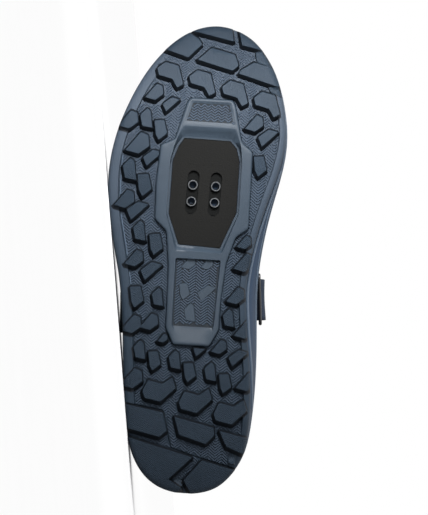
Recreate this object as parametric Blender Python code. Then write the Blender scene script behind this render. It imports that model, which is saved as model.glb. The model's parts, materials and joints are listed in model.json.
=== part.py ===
"""Trail cycling shoe for the right foot, size 42: a lugged rubber outsole with a recessed cleat pocket, a foam
midsole, a hollow padded upper, a tongue, a cover over the throat and one instep strap. It lies on its outer side.

The shoe is modelled upright and parented to an empty, which lays it down on its own resting plane.
Upright, +Y points to the toe, +Z up and +X to the outer (lateral) side; the sole's heel end is at Y 0."""

import math

import bmesh
import bpy
import numpy as np
from mathutils import Matrix, Vector
from mathutils.bvhtree import BVHTree
from mathutils.geometry import delaunay_2d_cdt

MM = 0.001
CREASE = math.radians(35)

# Driving sizes, in metres
SOLE_LENGTH = 0.290
BALL_WIDTH = 0.1065
INSTEP_HEIGHT = 0.106
HEEL_STACK = 0.0275
FOREFOOT_STACK = 0.0160
TOE_SPRING = 0.0220
LUG_HEIGHT = 0.0042
LUG_DRAFT = 0.0007
RAIL_HEIGHT = 0.0026
OUTSOLE_BASE = 0.0036
EDGE_ROUND = 0.0034
OUTER_RAIL_WIDTH = 0.0068
INNER_RAIL_WIDTH = 0.0046
FRAME_CHAMFER = 0.0008
RIM_HEIGHT = 0.0045
RIM_WALL = 0.0022
RIM_INSET = 0.0012
RIM_LEAN = 0.0009
WALL = 0.0022
COLLAR_PAD = 0.0050
INSOLE_THICKNESS = 0.0035
THROAT_HALF_WIDTH = 0.0095
TONGUE_THICKNESS = 0.0045
COVER_THICKNESS = 0.0016
STRAP_WIDTH = 0.0260
STRAP_THICKNESS = 0.0018
PATCH_THICKNESS = 0.0010
TONGUE_REACH = 0.041
HEAD_FLATTENING = 0.55
OUTER_BULGE = 0.0036
STRAP_AXIS = 0.052
STRAP_LIFT = 0.0016
LOOP_RADIUS = 0.0011
LOOP_LENGTH = 0.0080
LOOP_CORNER = 0.0020
LOOP_TILT = 0.0014
SIDE_MARGIN = 0.0012
SIDE_BLEND = 0.020
GAP = 0.0003
SKIN_GAP = 0.0005
COVER_GAP = 0.0011
TONGUE_GAP = 0.0016
TONGUE_SEAT = 0.0006
SEAT_SHARE = 0.25
MERGE = 0.00001
LONGEST_EDGE = 0.009
FINE_STEP = 0.008
MIDDLE_STEP = 0.010
UNDER_STEP = 0.011
WIDE_STEP = 0.020
REST_FLAT = 0.0004

# Cleat pocket: two slots over a steel plate with four threaded barrels
CLEAT_PITCH = 0.0140
BARREL_PITCH = 0.0102
BARREL_RADIUS = 0.0030
THREAD_RADIUS = 0.0021
SLOT_LENGTH = 0.0272
SLOT_WIDTH = 0.0072
POCKET_DEPTH = 0.0048
PLATE_THICKNESS = 0.0016
NUT_PLATE_THICKNESS = 0.0020
NUT_PLATE_MARGIN = 0.0050
BARREL_HEIGHT = 0.0015
CREST_DROP = 0.0010
PLATE_LEVEL = CREST_DROP + POCKET_DEPTH
NUT_LEVEL = PLATE_LEVEL + PLATE_THICKNESS + GAP
UPPER_INSET = RIM_INSET + RIM_WALL + GAP
STRAP_OFFSET = COVER_GAP + COVER_THICKNESS + SKIN_GAP + GAP

# The sole's plan is drawn on a grid of divisions: this many along its length and across its ball
LENGTH_DIVISIONS = 290.0
WIDTH_DIVISIONS = 106.5
SIDE_POINTS = 30
FOOT_POINTS = 240
PANEL_ROWS = 22
PANEL_COLUMNS = 9
STRAP_ROWS = 37
STRAP_LINES = 6
BAR_SIDES = 8

# Silhouette: divisions from the heel, then out to each side; edge_in is how far the tread's own edge
# lies inside it on the inner side, where the midsole flares out under the arch
SILHOUETTE = (
    # along, lateral, medial, edge_in
    (0, 2.5, -2.5, 0.3),
    (4, 20.0, 15.5, 0.3),
    (12, 29.7, 24.8, 0.4),
    (25, 37.0, 32.5, 0.6),
    (50, 42.2, 36.4, 1.6),
    (80, 45.0, 37.2, 4.0),
    (105, 47.0, 36.2, 6.2),
    (130, 50.3, 34.8, 6.4),
    (155, 55.8, 36.9, 5.2),
    (180, 60.0, 41.3, 3.5),
    (200, 60.2, 46.2, 2.4),
    (220, 56.8, 48.5, 1.2),
    (240, 50.0, 45.8, 0.5),
    (260, 40.0, 39.8, 0.3),
    (280, 23.0, 26.5, 0.3),
    (290, -2.0, 2.0, 0.3),
)

# Side view of the sole: the lug faces' height as a share of the toe spring, and the footbed's height
# as a share of the way from the forefoot's stack to the heel's
SOLE_PROFILE = (
    # along, ground, footbed
    (0, 0.25, 1.10),
    (14, 0.09, 1.05),
    (30, 0.02, 1.01),
    (45, 0.0, 0.99),
    (75, 0.0, 0.96),
    (105, 0.05, 0.80),
    (135, 0.08, 0.48),
    (165, 0.045, 0.16),
    (190, 0.0, 0.02),
    (212, 0.0, 0.0),
    (232, 0.09, 0.14),
    (252, 0.28, 0.52),
    (272, 0.60, 1.08),
    (290, 1.0, 1.75),
)

# The last: a row for each section from heel to toe. A section runs up one side as one cubic curve, from its
# foot on the footbed to its top on the collar or on the ridge over the instep.
# Lengths along are percent of the sole's length, heights percent of the instep's height, and half_width,
# flare and reach percent of the ball's width
LAST_SECTIONS = (
    # foot, top_along, top_height, half_width, rise, flare, reach, drop
    (0.0, 4.2, 94.0, 0.0, 24.0, 2.8, 0.0, 25.0),
    (4.0, 5.6, 92.5, 14.5, 24.0, 2.8, 0.5, 24.0),
    (10.0, 10.2, 87.0, 25.5, 22.0, 2.3, 1.5, 22.0),
    (19.0, 17.6, 80.5, 31.5, 20.0, 1.4, 2.5, 20.0),
    (27.5, 24.3, 79.5, 33.0, 20.0, 1.0, 3.5, 19.0),
    (34.5, 28.8, 84.5, 28.0, 22.0, 0.5, 6.0, 17.0),
    (41.0, 31.6, 93.0, 18.0, 25.0, 0.2, 10.0, 12.0),
    (45.5, 33.0, 99.0, 8.0, 28.0, 0.0, 16.0, 6.0),
    (48.5, 34.5, 100.0, 0.0, 28.0, 0.0, 22.0, 2.0),
    (55.0, 43.0, 93.0, 0.0, 28.0, 0.0, 23.0, 1.0),
    (64.0, 52.5, 82.0, 0.0, 28.0, 1.0, 25.0, 0.5),
    (72.5, 61.5, 71.5, 0.0, 27.0, 1.6, 26.5, 0.3),
    (81.0, 66.5, 65.5, 0.0, 25.0, 1.8, 28.0, 0.0),
    (88.0, 67.6, 64.1, 0.0, 23.0, 1.8, 36.0, 0.0),
    (95.0, 67.6, 64.1, 0.0, 22.0, 1.6, 45.0, 0.0),
    (100.0, 67.6, 64.1, 0.0, 21.0, 1.6, 51.0, 0.0),
)
BULGE_PLACE = 0.42
BULGE_SPREAD = 0.16
RIDGE_LINE = ((0, 3.5), (60, 3.5), (100, 3.0), (150, 2.5), (196, 2.0), (290, -1.0))
UPPER_RINGS = 12

# Tread lugs. Each family is one outline about its own centre, in divisions: medial positive, then to the toe
LUG_FAMILIES = {
    "hook": ((-4, 7.5), (4.3, 5.5), (7.8, -6.2), (4, -8.5), (0.8, -3.2), (-7.7, -1.2), (-9, 3.2)),
    "vee": ((-7, 5.5), (2, 3.6), (8, 8), (10.5, 1.5), (1.5, -7.5), (-8.5, -5.5), (-10, -1.5)),
    "blade_up": ((-3.7, 1.5), (0.5, 6), (2.8, 4.2), (4.5, -6.3), (-2, -5.4)),
    "blade_down": ((-4, 5.6), (2.2, 6.3), (4.6, -2), (-0.6, -6.6), (-2.6, -3.2)),
    "slant": ((-6, 0.2), (0.8, 5.7), (7.3, 4.2), (-3, -6)),
    "wedge": ((-5.5, -3.5), (-1.8, 1.2), (1.5, 5.5), (5.2, 4.2), (6, -1), (1, -5)),
}
LUG_PLACES = (
    # family, medial, along, size
    ("hook", -25.5, 258, 1.0),
    ("hook", -5.5, 254, 1.0),
    ("hook", 15, 248.6, 1.0),
    ("hook", 35, 242.8, 1.0),
    ("vee", -22, 63.5, 1.0),
    ("vee", 0.7, 57.8, 1.0),
    ("vee", 22.5, 52, 1.0),
    ("blade_up", -39.5, 230, 1.0),
    ("blade_up", -48, 198, 1.1),
    ("blade_up", -39.8, 160.5, 1.0),
    ("blade_up", -26.3, 120.5, 0.92),
    ("blade_up", -35.5, 87.5, 0.95),
    ("blade_up", -13.5, 82.5, 0.95),
    ("blade_up", 8.7, 76.5, 0.95),
    ("blade_up", 18, 110, 0.9),
    ("blade_down", -30.3, 223, 1.0),
    ("blade_down", -38.3, 188.5, 1.1),
    ("blade_down", -29.2, 152.5, 1.05),
    ("blade_down", -39.2, 119.6, 1.05),
    ("blade_down", -26, 81, 0.95),
    ("blade_down", -4, 75, 0.95),
    ("blade_down", 18.2, 69.5, 0.95),
    ("blade_down", 32, 204, 1.0),
    ("slant", -25, 239, 0.8),
    ("slant", -34.6, 205.4, 0.9),
    ("slant", -42, 172.4, 1.0),
    ("slant", -31.5, 135.8, 1.0),
    ("slant", 25, 85.4, 0.9),
    ("slant", 35.6, 221.6, 0.95),
    ("wedge", -35.5, 246, 1.0),
    ("wedge", -44, 213.8, 1.3),
    ("wedge", -50, 179, 1.1),
    ("wedge", -42, 143, 1.0),
    ("wedge", -30.5, 104.5, 1.0),
    ("wedge", 27, 230, 1.0),
    ("wedge", 21.6, 123.4, 1.0),
    ("wedge", -41.5, 102.5, 1.1),
    ("wedge", -50.5, 228, 1.1),
    ("wedge", -39.3, 69.2, 1.2),
    ("wedge", 13.2, 91.5, 0.85),
    ("wedge", 31, 71, 1.1),
    ("wedge", 28, 103, 1.1),
    ("wedge", 25.5, 144, 1.1),
    ("wedge", 25, 156.5, 0.8),
    ("wedge", -21.5, 95, 0.55),
)
EDGE_LUGS = {
    "toe_tip": ((-14, 286), (12, 280.5), (10, 292), (-8, 293)),
    "toe_inner": ((14.2, 291), (17, 278.5), (32, 275.6), (32, 288)),
    "toe_outer": ((-18, 286), (-9.5, 281), (-7.4, 277.7), (-15.6, 268.8), (-31, 273.6), (-31, 284)),
    "toe_centre": ((-1.6, 276), (13.2, 272.4), (15.8, 265.6), (12.2, 262), (-10, 267.8)),
    "toe_side": ((25, 268.3), (42, 264), (45, 253.4), (39.5, 253.8), (16, 260.5), (17.2, 263)),
    "heel_outer": ((-46, 54), (-18.6, 49.6), (-15.4, 38.4), (-20, 34.4), (-46, 40)),
    "heel_centre": ((-11.5, 47.4), (13, 42), (14, 37.4), (8.8, 31.6), (-8, 36.4)),
    "heel_inner": ((16.6, 40.2), (40, 35.4), (38, 24.5), (21.4, 30.8)),
    "heel_end_outer": ((-44, 34.4), (1, 23), (-13, 8.6), (-4, 3.2), (-14, -4), (-44, -2)),
    "heel_end_inner": ((7, 21.6), (36, 14.2), (34, -4), (4, -4), (-3.6, 8.4)),
}

# Cleat pocket's frame and plate, in the same divisions
FRAME_OUTLINE = (
    (-12.5, 244), (13, 244), (15, 241.5), (20.5, 218), (27.5, 212.5), (27.5, 165), (20, 159.5), (15, 143),
    (13, 120), (12.8, 102), (7.5, 91.5), (-15, 91.5), (-20, 102), (-20.5, 140), (-23, 161), (-30.5, 168),
    (-31, 190), (-29.5, 214), (-21, 218), (-14.5, 241.5),
)
PLATE_OUTLINE = (
    (-15, 218.8), (13.2, 218.4), (17.2, 214), (19.6, 206), (19.4, 175), (10.4, 152.5), (-15, 153.6), (-22, 172),
    (-21.4, 205), (-18.4, 213.4),
)
# Hollows of the frame: the loop at its crest, the loop at its floor, and the floor's depth as a share of the pocket's
FRAME_HOLLOWS = (
    (
        ((-16.6, 226.8), (16.8, 226.4), (20.2, 214.6), (21.2, 206), (21, 174), (12, 149), (-16.6, 149.6),
         (-23.6, 171.4), (-23, 205), (-21, 214)),
        PLATE_OUTLINE,
        1.0,
    ),
    (
        ((-12, 242.2), (12.4, 242.2), (16.4, 228), (-16.2, 228.2)),
        ((-11.6, 241.7), (12, 241.7), (15.9, 228.4), (-15.7, 228.6)),
        0.28,
    ),
    (
        ((-16.4, 145), (11.6, 145), (9.6, 104), (6.6, 93.4), (-14.2, 93.4), (-16.4, 104)),
        ((-15.8, 144.4), (11, 144.4), (9, 104.4), (8.8, 103.2), (-15.4, 103.2), (-15.8, 104.4)),
        0.42,
    ),
)
POCKET_CENTRE = (-1.4, 185.6)
POCKET_TURN = math.radians(2.0)

# How much of the edge rail stands along the sole
RAIL_STATIONS = (0, 34, 48, 238, 262, 290)
RAIL_SHARES = (0, 0, 1, 1, 0, 0)

# Midsole side, from its underside up, as shares of its height, of the inner side's tuck and of the side margin
MIDSOLE_SIDE = (
    # height, tuck, margin
    (0.0, 1.0, 0.67),
    (0.22, 0.42, 0.58),
    (0.50, 0.08, 0.67),
    (0.78, 0.0, 0.75),
    (1.0, 0.12, 1.0),
)

# Padding of the collar up a section: where it starts, is full, thins again, and how much thinner the edge is
PAD_START, PAD_FULL, PAD_THINS, PAD_EDGE = 0.55, 0.80, 0.88, 0.3

# Tongue and throat cover: stations along and half widths, in divisions
TONGUE_STATIONS = (101, 120, 150, 184, 205)
TONGUE_HALF_WIDTHS = (17.5, 17.5, 17.5, 15.5, 13)
COVER_STATIONS = (103, 125, 160, 184, 197, 205)
COVER_HALF_WIDTHS = (15.5, 17, 17.5, 16, 12, 6)
# The tongue's free end, which dips under the collar's edge and stands up inside it
TONGUE_HEAD = (
    # share of its reach, climb in degrees, share of its neck's width
    (0.12, -16, 1.0),
    (0.12, -12, 1.0),
    (0.10, 20, 1.0),
    (0.13, 50, 1.02),
    (0.20, 68, 1.07),
    (0.22, 76, 1.07),
    (0.08, 78, 0.90),
    (0.03, 78, 0.70),
)

# Toe cap and heel counter: the places where they end, and their upper edges as shares of the sections they follow
TOE_CAP_ENDS = (0.77, 1.23)
TOE_CAP_TOP = (0.12, 0.25, 0.36, 0.40, 0.36, 0.25, 0.12)
COUNTER_ENDS = (-0.31, 0.31)
COUNTER_TOP = (0.13, 0.38, 0.60, 0.70, 0.60, 0.38, 0.13)
LEAST_PANEL = 0.06

# Strap: where its middle crosses the outer side, the ridge and the inner side, and how far round it reaches
STRAP_ALONG = (109.0, 116.5, 121.5)
STRAP_REACH = (math.radians(97), math.radians(104))

# A side plane leans from upright by less than this, as the least sideways share of its normal
LEAST_SIDEWAYS = 0.75
SHARPEST_MITRE = 0.35


def hermite(xs, ys):
    """A smooth curve through a table's values, as a function."""
    xs, ys = np.asarray(xs, float), np.asarray(ys, float)
    steps = np.diff(xs)
    rates = np.diff(ys) / steps
    slopes = np.empty(len(xs))
    slopes[0], slopes[-1] = rates[0], rates[-1]
    slopes[1:-1] = (rates[:-1] * steps[1:] + rates[1:] * steps[:-1]) / (steps[:-1] + steps[1:])

    def value(x):
        x = np.clip(np.asarray(x, float), xs[0], xs[-1])
        i = np.clip(np.searchsorted(xs, x, side="right") - 1, 0, len(xs) - 2)
        t = (x - xs[i]) / steps[i]
        a, b = ys[i], ys[i + 1]
        p, q = slopes[i] * steps[i], slopes[i + 1] * steps[i]
        return a + t * (p + t * (3 * (b - a) - 2 * p - q + t * (p + q - 2 * (b - a))))

    return value


def along(divisions):
    return np.asarray(divisions, float) * SOLE_LENGTH / LENGTH_DIVISIONS


def across(divisions):
    return np.asarray(divisions, float) * BALL_WIDTH / WIDTH_DIVISIONS


def share_at(y):
    """Where a station lies between heel (0) and toe (1), spaced so that both round ends are smooth."""
    return np.arccos(np.clip(1 - 2 * np.asarray(y, float) / SOLE_LENGTH, -1, 1)) / math.pi


def station(share):
    return SOLE_LENGTH * (1 - np.cos(math.pi * np.asarray(share, float))) / 2


outline_shares = share_at(along([row[0] for row in SILHOUETTE]))
lateral_edge = hermite(outline_shares, across([row[1] for row in SILHOUETTE]))
medial_edge = hermite(outline_shares, across([row[2] for row in SILHOUETTE]))
tread_inset = hermite(outline_shares, across([row[3] for row in SILHOUETTE]))
profile_stations = along([row[0] for row in SOLE_PROFILE])
ground_height = hermite(profile_stations, TOE_SPRING * np.array([row[1] for row in SOLE_PROFILE]))
footbed_height = hermite(
    profile_stations,
    FOREFOOT_STACK + (HEEL_STACK - FOREFOOT_STACK) * np.array([row[2] for row in SOLE_PROFILE]),
)
ridge_x = hermite(along([row[0] for row in RIDGE_LINE]), across([row[1] for row in RIDGE_LINE]))


def floor_height(y):
    return ground_height(y) + LUG_HEIGHT


def outsole_top(y):
    return floor_height(y) + OUTSOLE_BASE


def side_loop(side_points=SIDE_POINTS, medial_in=0.0):
    """The silhouette as a closed loop, anticlockwise from above: up the outer side and back down the inner one."""
    up = np.arange(side_points + 1) / side_points
    down = up[-2:0:-1]
    outer = np.column_stack([lateral_edge(up), station(up)])
    inner = np.column_stack([-(medial_edge(down) - medial_in * tread_inset(down)), station(down)])
    return np.vstack([outer, inner])


def inset(loop, distance):
    """A closed anticlockwise loop moved inwards, by one distance or by one for each point."""
    loop = np.asarray(loop, float)
    before, after = loop - np.roll(loop, 1, 0), np.roll(loop, -1, 0) - loop
    before /= np.linalg.norm(before, axis=1)[:, None]
    after /= np.linalg.norm(after, axis=1)[:, None]
    bisector = np.column_stack([-(before + after)[:, 1], (before + after)[:, 0]])
    bisector /= np.linalg.norm(bisector, axis=1)[:, None]
    inward = np.column_stack([-after[:, 1], after[:, 0]])
    stretch = np.maximum((bisector * inward).sum(1), SHARPEST_MITRE)
    return loop + bisector * (np.asarray(distance, float) / stretch)[:, None]


def drawn(points):
    """A polygon of the sole's drawing in metres, anticlockwise from above."""
    points = np.asarray(points, float)
    loop = np.column_stack([-across(points[:, 0]), along(points[:, 1])])
    turned = np.roll(loop, -1, 0)
    area = (loop[:, 0] * turned[:, 1] - turned[:, 0] * loop[:, 1]).sum()
    return loop if area > 0 else loop[::-1]


def divided(loop):
    """A loop with its long edges divided, so that it can follow the sole's curve."""
    points = []
    for a, b in zip(loop, np.roll(loop, -1, 0)):
        parts = max(1, math.ceil(np.linalg.norm(b - a) / LONGEST_EDGE))
        points += [a + (b - a) * k / parts for k in range(parts)]
    return np.array(points)


def circle(centre, radius, points):
    turn = 2 * math.pi * np.arange(points) / points
    return np.column_stack([centre[0] + radius * np.cos(turn), centre[1] + radius * np.sin(turn)])


def inside(points, loop):
    x, y = points[:, 0][:, None], points[:, 1][:, None]
    a, b = loop, np.roll(loop, -1, 0)
    crosses = (a[:, 1] > y) != (b[:, 1] > y)
    rise = np.where(b[:, 1] == a[:, 1], 1e-12, b[:, 1] - a[:, 1])
    return (crosses & (x < (b[:, 0] - a[:, 0]) * (y - a[:, 1]) / rise + a[:, 0])).sum(1) % 2 == 1


def distance(points, loop):
    a, b = loop, np.roll(loop, -1, 0)
    span = b - a
    t = ((points[:, None, :] - a) * span).sum(2) / np.maximum((span**2).sum(1), 1e-18)
    nearest = a + np.clip(t, 0, 1)[:, :, None] * span
    return np.linalg.norm(points[:, None, :] - nearest, axis=2).min(1)


def triangulated(loops, points, holes):
    """Plan points and triangles inside the first loop and outside its holes, which come next in the list.
    The triangles follow every loop."""
    coords, rings = [], []
    for loop in loops:
        rings.append(list(range(len(coords), len(coords) + len(loop))))
        coords += [Vector(p) / MM for p in loop]
    coords += [Vector(p) / MM for p in points]
    found = delaunay_2d_cdt(coords, [], rings, 0, MERGE / MM)
    plan = np.array([tuple(v) for v in found[0]]) * MM
    skipped = set(range(1, 1 + holes))
    faces = [face for face, owners in zip(found[2], found[5]) if 0 in owners and not skipped & set(owners)]
    faces = np.array(faces)
    used = np.unique(faces)
    renumber = np.full(len(plan), -1)
    renumber[used] = np.arange(len(used))
    plan, faces = plan[used], renumber[faces]
    a, b, c = (plan[faces[:, k]] for k in range(3))
    clockwise = (b[:, 0] - a[:, 0]) * (c[:, 1] - a[:, 1]) < (b[:, 1] - a[:, 1]) * (c[:, 0] - a[:, 0])
    faces[clockwise] = faces[clockwise][:, ::-1]
    return plan, faces


def grid_points(outer, holes, step):
    """Plan points that let a wide face follow the sole's curve."""
    low, high = outer.min(0), outer.max(0)
    xs = np.arange(low[0] + step / 2, high[0], step * 1.6)
    ys = np.arange(low[1] + step / 2, high[1], step)
    grid = np.array([(x, y) for y in ys for x in xs]).reshape(-1, 2)
    keep = inside(grid, outer) & (distance(grid, outer) > step * 0.3)
    for hole in holes:
        keep &= ~inside(grid, hole) & (distance(grid, hole) > step * 0.3)
    return grid[keep]


def relief(plan, base, features):
    """Heights of a face that follows base, and inside each feature ramps from its foot loop to its own level.
    A feature is its foot loop, its face loop and its level as a function of the place along the sole."""
    start = base(plan[:, 1])
    change = np.zeros(len(plan))
    for foot, face, level in features:
        to_foot, to_face = distance(plan, foot), distance(plan, face)
        part = to_foot / np.maximum(to_foot + to_face, 1e-9)
        part = np.where(inside(plan, face) | (to_face < 2 * MERGE), 1.0, part)
        part = np.where(inside(plan, foot) & (to_foot > 2 * MERGE), part, 0.0)
        step = part * (level(plan[:, 1]) - start)
        change = np.where(np.abs(step) > np.abs(change), step, change)
    return start + change


def rim_edges(faces):
    edges = np.concatenate([faces[:, [0, 1]], faces[:, [1, 2]], faces[:, [2, 0]]])
    pairs = {(int(a), int(b)) for a, b in edges}
    return [(a, b) for a, b in sorted(pairs) if (b, a) not in pairs]


def slab_in_plan(name, outer, holes, loops, step, bottom, top, material):
    """A plate with upright walls, whose two faces follow bottom(plan) and top(plan)."""
    plan, faces = triangulated([outer, *holes, *loops], grid_points(outer, holes, step), len(holes))
    count = len(plan)
    points = np.vstack([np.column_stack([plan, bottom(plan)]), np.column_stack([plan, top(plan)])])
    polygons = [tuple(face[::-1]) for face in faces] + [tuple(face + count) for face in faces]
    polygons += [(a, b, b + count, a + count) for a, b in rim_edges(faces)]
    return new_object(name, points, polygons, material)


def new_object(name, points, polygons, material):
    mesh = bpy.data.meshes.new(name)
    mesh.from_pydata([tuple(map(float, p)) for p in points], [], [tuple(map(int, p)) for p in polygons])
    mesh.validate()
    mesh.materials.append(material)
    mesh.shade_smooth()
    mesh.set_sharp_from_angle(angle=CREASE)
    piece = bpy.data.objects.new(name, mesh)
    bpy.context.scene.collection.objects.link(piece)
    return piece


def new_material(name, colour, roughness, metallic=0.0):
    material = bpy.data.materials.new(name)
    material.use_nodes = True
    shader = material.node_tree.nodes["Principled BSDF"]
    shader.inputs["Base Color"].default_value = (*colour, 1)
    shader.inputs["Roughness"].default_value = roughness
    shader.inputs["Metallic"].default_value = metallic
    return material


def constant(value):
    def level(place):
        return np.full(len(place), float(value))
    return level


# Outsole
def lug_outlines():
    for family, medial, forward, size in LUG_PLACES:
        yield drawn([(medial + size * a, forward + size * b) for a, b in LUG_FAMILIES[family]])
    for points in EDGE_LUGS.values():
        yield drawn(points)


def build_outsole(material):
    edge = side_loop(medial_in=1.0)
    opening = divided(inset(drawn(FRAME_OUTLINE), -GAP))
    lugs = [(loop, inset(loop, LUG_DRAFT), ground_height) for loop in lug_outlines()]
    rail_width = np.where(edge[:, 0] > 0, OUTER_RAIL_WIDTH, INNER_RAIL_WIDTH)
    rail_foot = inset(edge, rail_width)
    rail_face = inset(edge, rail_width - LUG_DRAFT)
    present = hermite(along(RAIL_STATIONS), RAIL_SHARES)

    def underside(plan):
        height = relief(plan, floor_height, lugs)
        to_foot, to_face = distance(plan, rail_foot), distance(plan, rail_face)
        part = to_foot / np.maximum(to_foot + to_face, 1e-9)
        part = np.where(~inside(plan, rail_face) | (to_face < 2 * MERGE), 1.0, part)
        part = np.where(inside(plan, rail_foot) | (to_foot < 2 * MERGE), 0.0, part)
        rail = part * RAIL_HEIGHT * np.clip(present(plan[:, 1]), 0, 1)
        height = np.minimum(height, floor_height(plan[:, 1]) - rail)
        near = np.clip(1 - distance(plan, edge) / EDGE_ROUND, 0, 1)
        return height + EDGE_ROUND * (1 - np.sqrt(1 - near**2))

    loops = [part for lug in lugs for part in lug[:2]]
    loops += [rail_foot, rail_face, inset(edge, EDGE_ROUND * 0.3), inset(edge, EDGE_ROUND)]
    return slab_in_plan(
        "outsole", edge, [opening], loops, FINE_STEP, underside, lambda plan: outsole_top(plan[:, 1]), material
    )


# Cleat pocket
def crest_height(y):
    return ground_height(y) + CREST_DROP


def sunk_crest(share):
    def level(y):
        return crest_height(y) + share * POCKET_DEPTH
    return level


def build_frame(material):
    outer = divided(drawn(FRAME_OUTLINE))
    opening = divided(inset(drawn(PLATE_OUTLINE), -GAP))
    features = []
    for crest, floor, depth in FRAME_HOLLOWS:
        if depth == 1.0:
            features.append((divided(drawn(crest)), opening, constant(PLATE_LEVEL)))
        else:
            features.append((divided(drawn(crest)), divided(drawn(floor)), sunk_crest(depth)))
    loops = [inset(outer, FRAME_CHAMFER)] + [features[0][0]] + [p for f in features[1:] for p in f[:2]]

    def underside(plan):
        near = np.clip(1 - distance(plan, outer) / FRAME_CHAMFER, 0, 1)
        return relief(plan, crest_height, features) + FRAME_CHAMFER * near

    return slab_in_plan(
        "cleat_frame", outer, [opening], loops, MIDDLE_STEP, underside, lambda plan: outsole_top(plan[:, 1]), material
    )


def in_pocket(medial, forward):
    """A place given from the pocket's middle, in metres, turned as the whole plate is."""
    c, s = math.cos(POCKET_TURN), math.sin(POCKET_TURN)
    centre = drawn_point(POCKET_CENTRE)
    return np.array([centre[0] - (medial * c + forward * s), centre[1] - medial * s + forward * c])


def slot_loop(side):
    half = (SLOT_LENGTH - SLOT_WIDTH) / 2
    radius = SLOT_WIDTH / 2
    points = [in_pocket(side * CLEAT_PITCH / 2 + radius * math.cos(a), half + radius * math.sin(a))
              for a in np.linspace(0, math.pi, 7)]
    points += [in_pocket(side * CLEAT_PITCH / 2 + radius * math.cos(a), -half + radius * math.sin(a))
               for a in np.linspace(math.pi, 2 * math.pi, 7)]
    return np.array(points)[::-1]


def nut_plate_loop(grow):
    half_width = CLEAT_PITCH / 2 + BARREL_RADIUS + NUT_PLATE_MARGIN + grow
    half_length = BARREL_PITCH / 2 + BARREL_RADIUS + NUT_PLATE_MARGIN + grow
    corners = ((-1, -1), (1, -1), (1, 1), (-1, 1))
    return np.array([in_pocket(a * half_width, b * half_length) for a, b in corners])[::-1]


def build_plates(plate_material, steel):
    flat = slab_in_plan(
        "cleat_plate", drawn(PLATE_OUTLINE), [slot_loop(-1), slot_loop(1)], [], SOLE_LENGTH,
        constant(PLATE_LEVEL), constant(PLATE_LEVEL + PLATE_THICKNESS), plate_material,
    )
    threads, barrels = [], []
    for a in (-0.5, 0.5):
        for b in (-0.5, 0.5):
            centre = in_pocket(a * CLEAT_PITCH, b * BARREL_PITCH)
            threads.append(circle(centre, THREAD_RADIUS, 14))
            barrel = circle(centre, BARREL_RADIUS, 14)
            barrels.append((barrel, inset(barrel, GAP), constant(NUT_LEVEL - BARREL_HEIGHT)))
    loops = [part for barrel in barrels for part in barrel[:2]]
    nuts = slab_in_plan(
        "cleat_nut_plate", nut_plate_loop(0.0), threads, loops, SOLE_LENGTH,
        lambda plan: relief(plan, constant(NUT_LEVEL), barrels), constant(NUT_LEVEL + NUT_PLATE_THICKNESS), steel,
    )
    return flat, nuts


def drawn_point(point):
    return np.array([-across(point[0]), along(point[1])])


# Midsole and insole
def cap(loop, step, height, features):
    """Extra points and faces that close a ring."""
    loops = [loop] + [part for feature in features for part in feature[:2]]
    plan, faces = triangulated(loops, grid_points(loop, [], step), 0)
    order = np.full(len(plan), -1)
    for i, p in enumerate(loop):
        order[np.argmin(((plan - p) ** 2).sum(1))] = i
    rest = np.where(order < 0)[0]
    order[rest] = len(loop) + np.arange(len(rest))
    return np.column_stack([plan[rest], relief(plan[rest], height, features)]), order[faces]


def build_midsole(material):
    rings = []
    base = side_loop()
    towards_outer = np.clip(0.5 + base[:, 0] / SIDE_BLEND, 0, 1)
    for share, tuck, margin in MIDSOLE_SIDE:
        loop = inset(side_loop(medial_in=tuck), SIDE_MARGIN * margin * towards_outer + SKIN_GAP * tuck)
        low, high = outsole_top(loop[:, 1]) + GAP, footbed_height(loop[:, 1]) + RIM_HEIGHT
        rings.append(np.column_stack([loop, low + share * (high - low)]))
    for height, lean in ((RIM_HEIGHT, RIM_LEAN), (0.0, 0.0)):
        loop = inset(base, RIM_INSET + RIM_WALL - lean)
        rings.append(np.column_stack([loop, footbed_height(loop[:, 1]) + height]))
    recess = [(nut_plate_loop(2 * SKIN_GAP), nut_plate_loop(GAP), constant(NUT_LEVEL + NUT_PLATE_THICKNESS + GAP))]
    under = cap(rings[0][:, :2], UNDER_STEP, lambda y: outsole_top(y) + GAP, recess)
    over = cap(rings[-1][:, :2], WIDE_STEP, footbed_height, [])
    count = len(base)
    points = list(rings)
    polygons = []
    for k in range(len(rings) - 1):
        a, b = k * count, (k + 1) * count
        polygons += [(a + i, a + (i + 1) % count, b + (i + 1) % count, b + i) for i in range(count)]
    total = count * len(rings)
    for first, (extra, faces), up in ((0, under, False), (total - count, over, True)):
        points.append(extra)
        for face in faces:
            ids = [first + i if i < count else total + i - count for i in face]
            polygons.append(tuple(ids if up else ids[::-1]))
        total += len(extra)
    return new_object("midsole", np.vstack(points), polygons, material)


def build_insole(material):
    loop = inset(side_loop(), UPPER_INSET + WALL + SKIN_GAP)
    low, high = GAP, GAP + INSOLE_THICKNESS
    return slab_in_plan(
        "insole", loop, [], [], WIDE_STEP,
        lambda plan: footbed_height(plan[:, 1]) + low, lambda plan: footbed_height(plan[:, 1]) + high, material,
    )


# Upper: a place is 0 at the heel, 1 at the toe tip and 2 at the heel again, by the outer side and then the inner
section_shares = share_at(SOLE_LENGTH * np.array([row[0] for row in LAST_SECTIONS]) / 100)
section = [hermite(section_shares, np.array([row[k] for row in LAST_SECTIONS]) / 100) for k in range(1, 8)]
foot_curve = inset(side_loop(FOOT_POINTS), UPPER_INSET)
throat_rear, throat_full = section_shares[6], section_shares[10]
ridge_rows = LAST_SECTIONS[7:13]
ridge_height = hermite(
    SOLE_LENGTH * np.array([row[1] for row in ridge_rows]) / 100,
    INSTEP_HEIGHT * np.array([row[2] for row in ridge_rows]) / 100,
)


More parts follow.
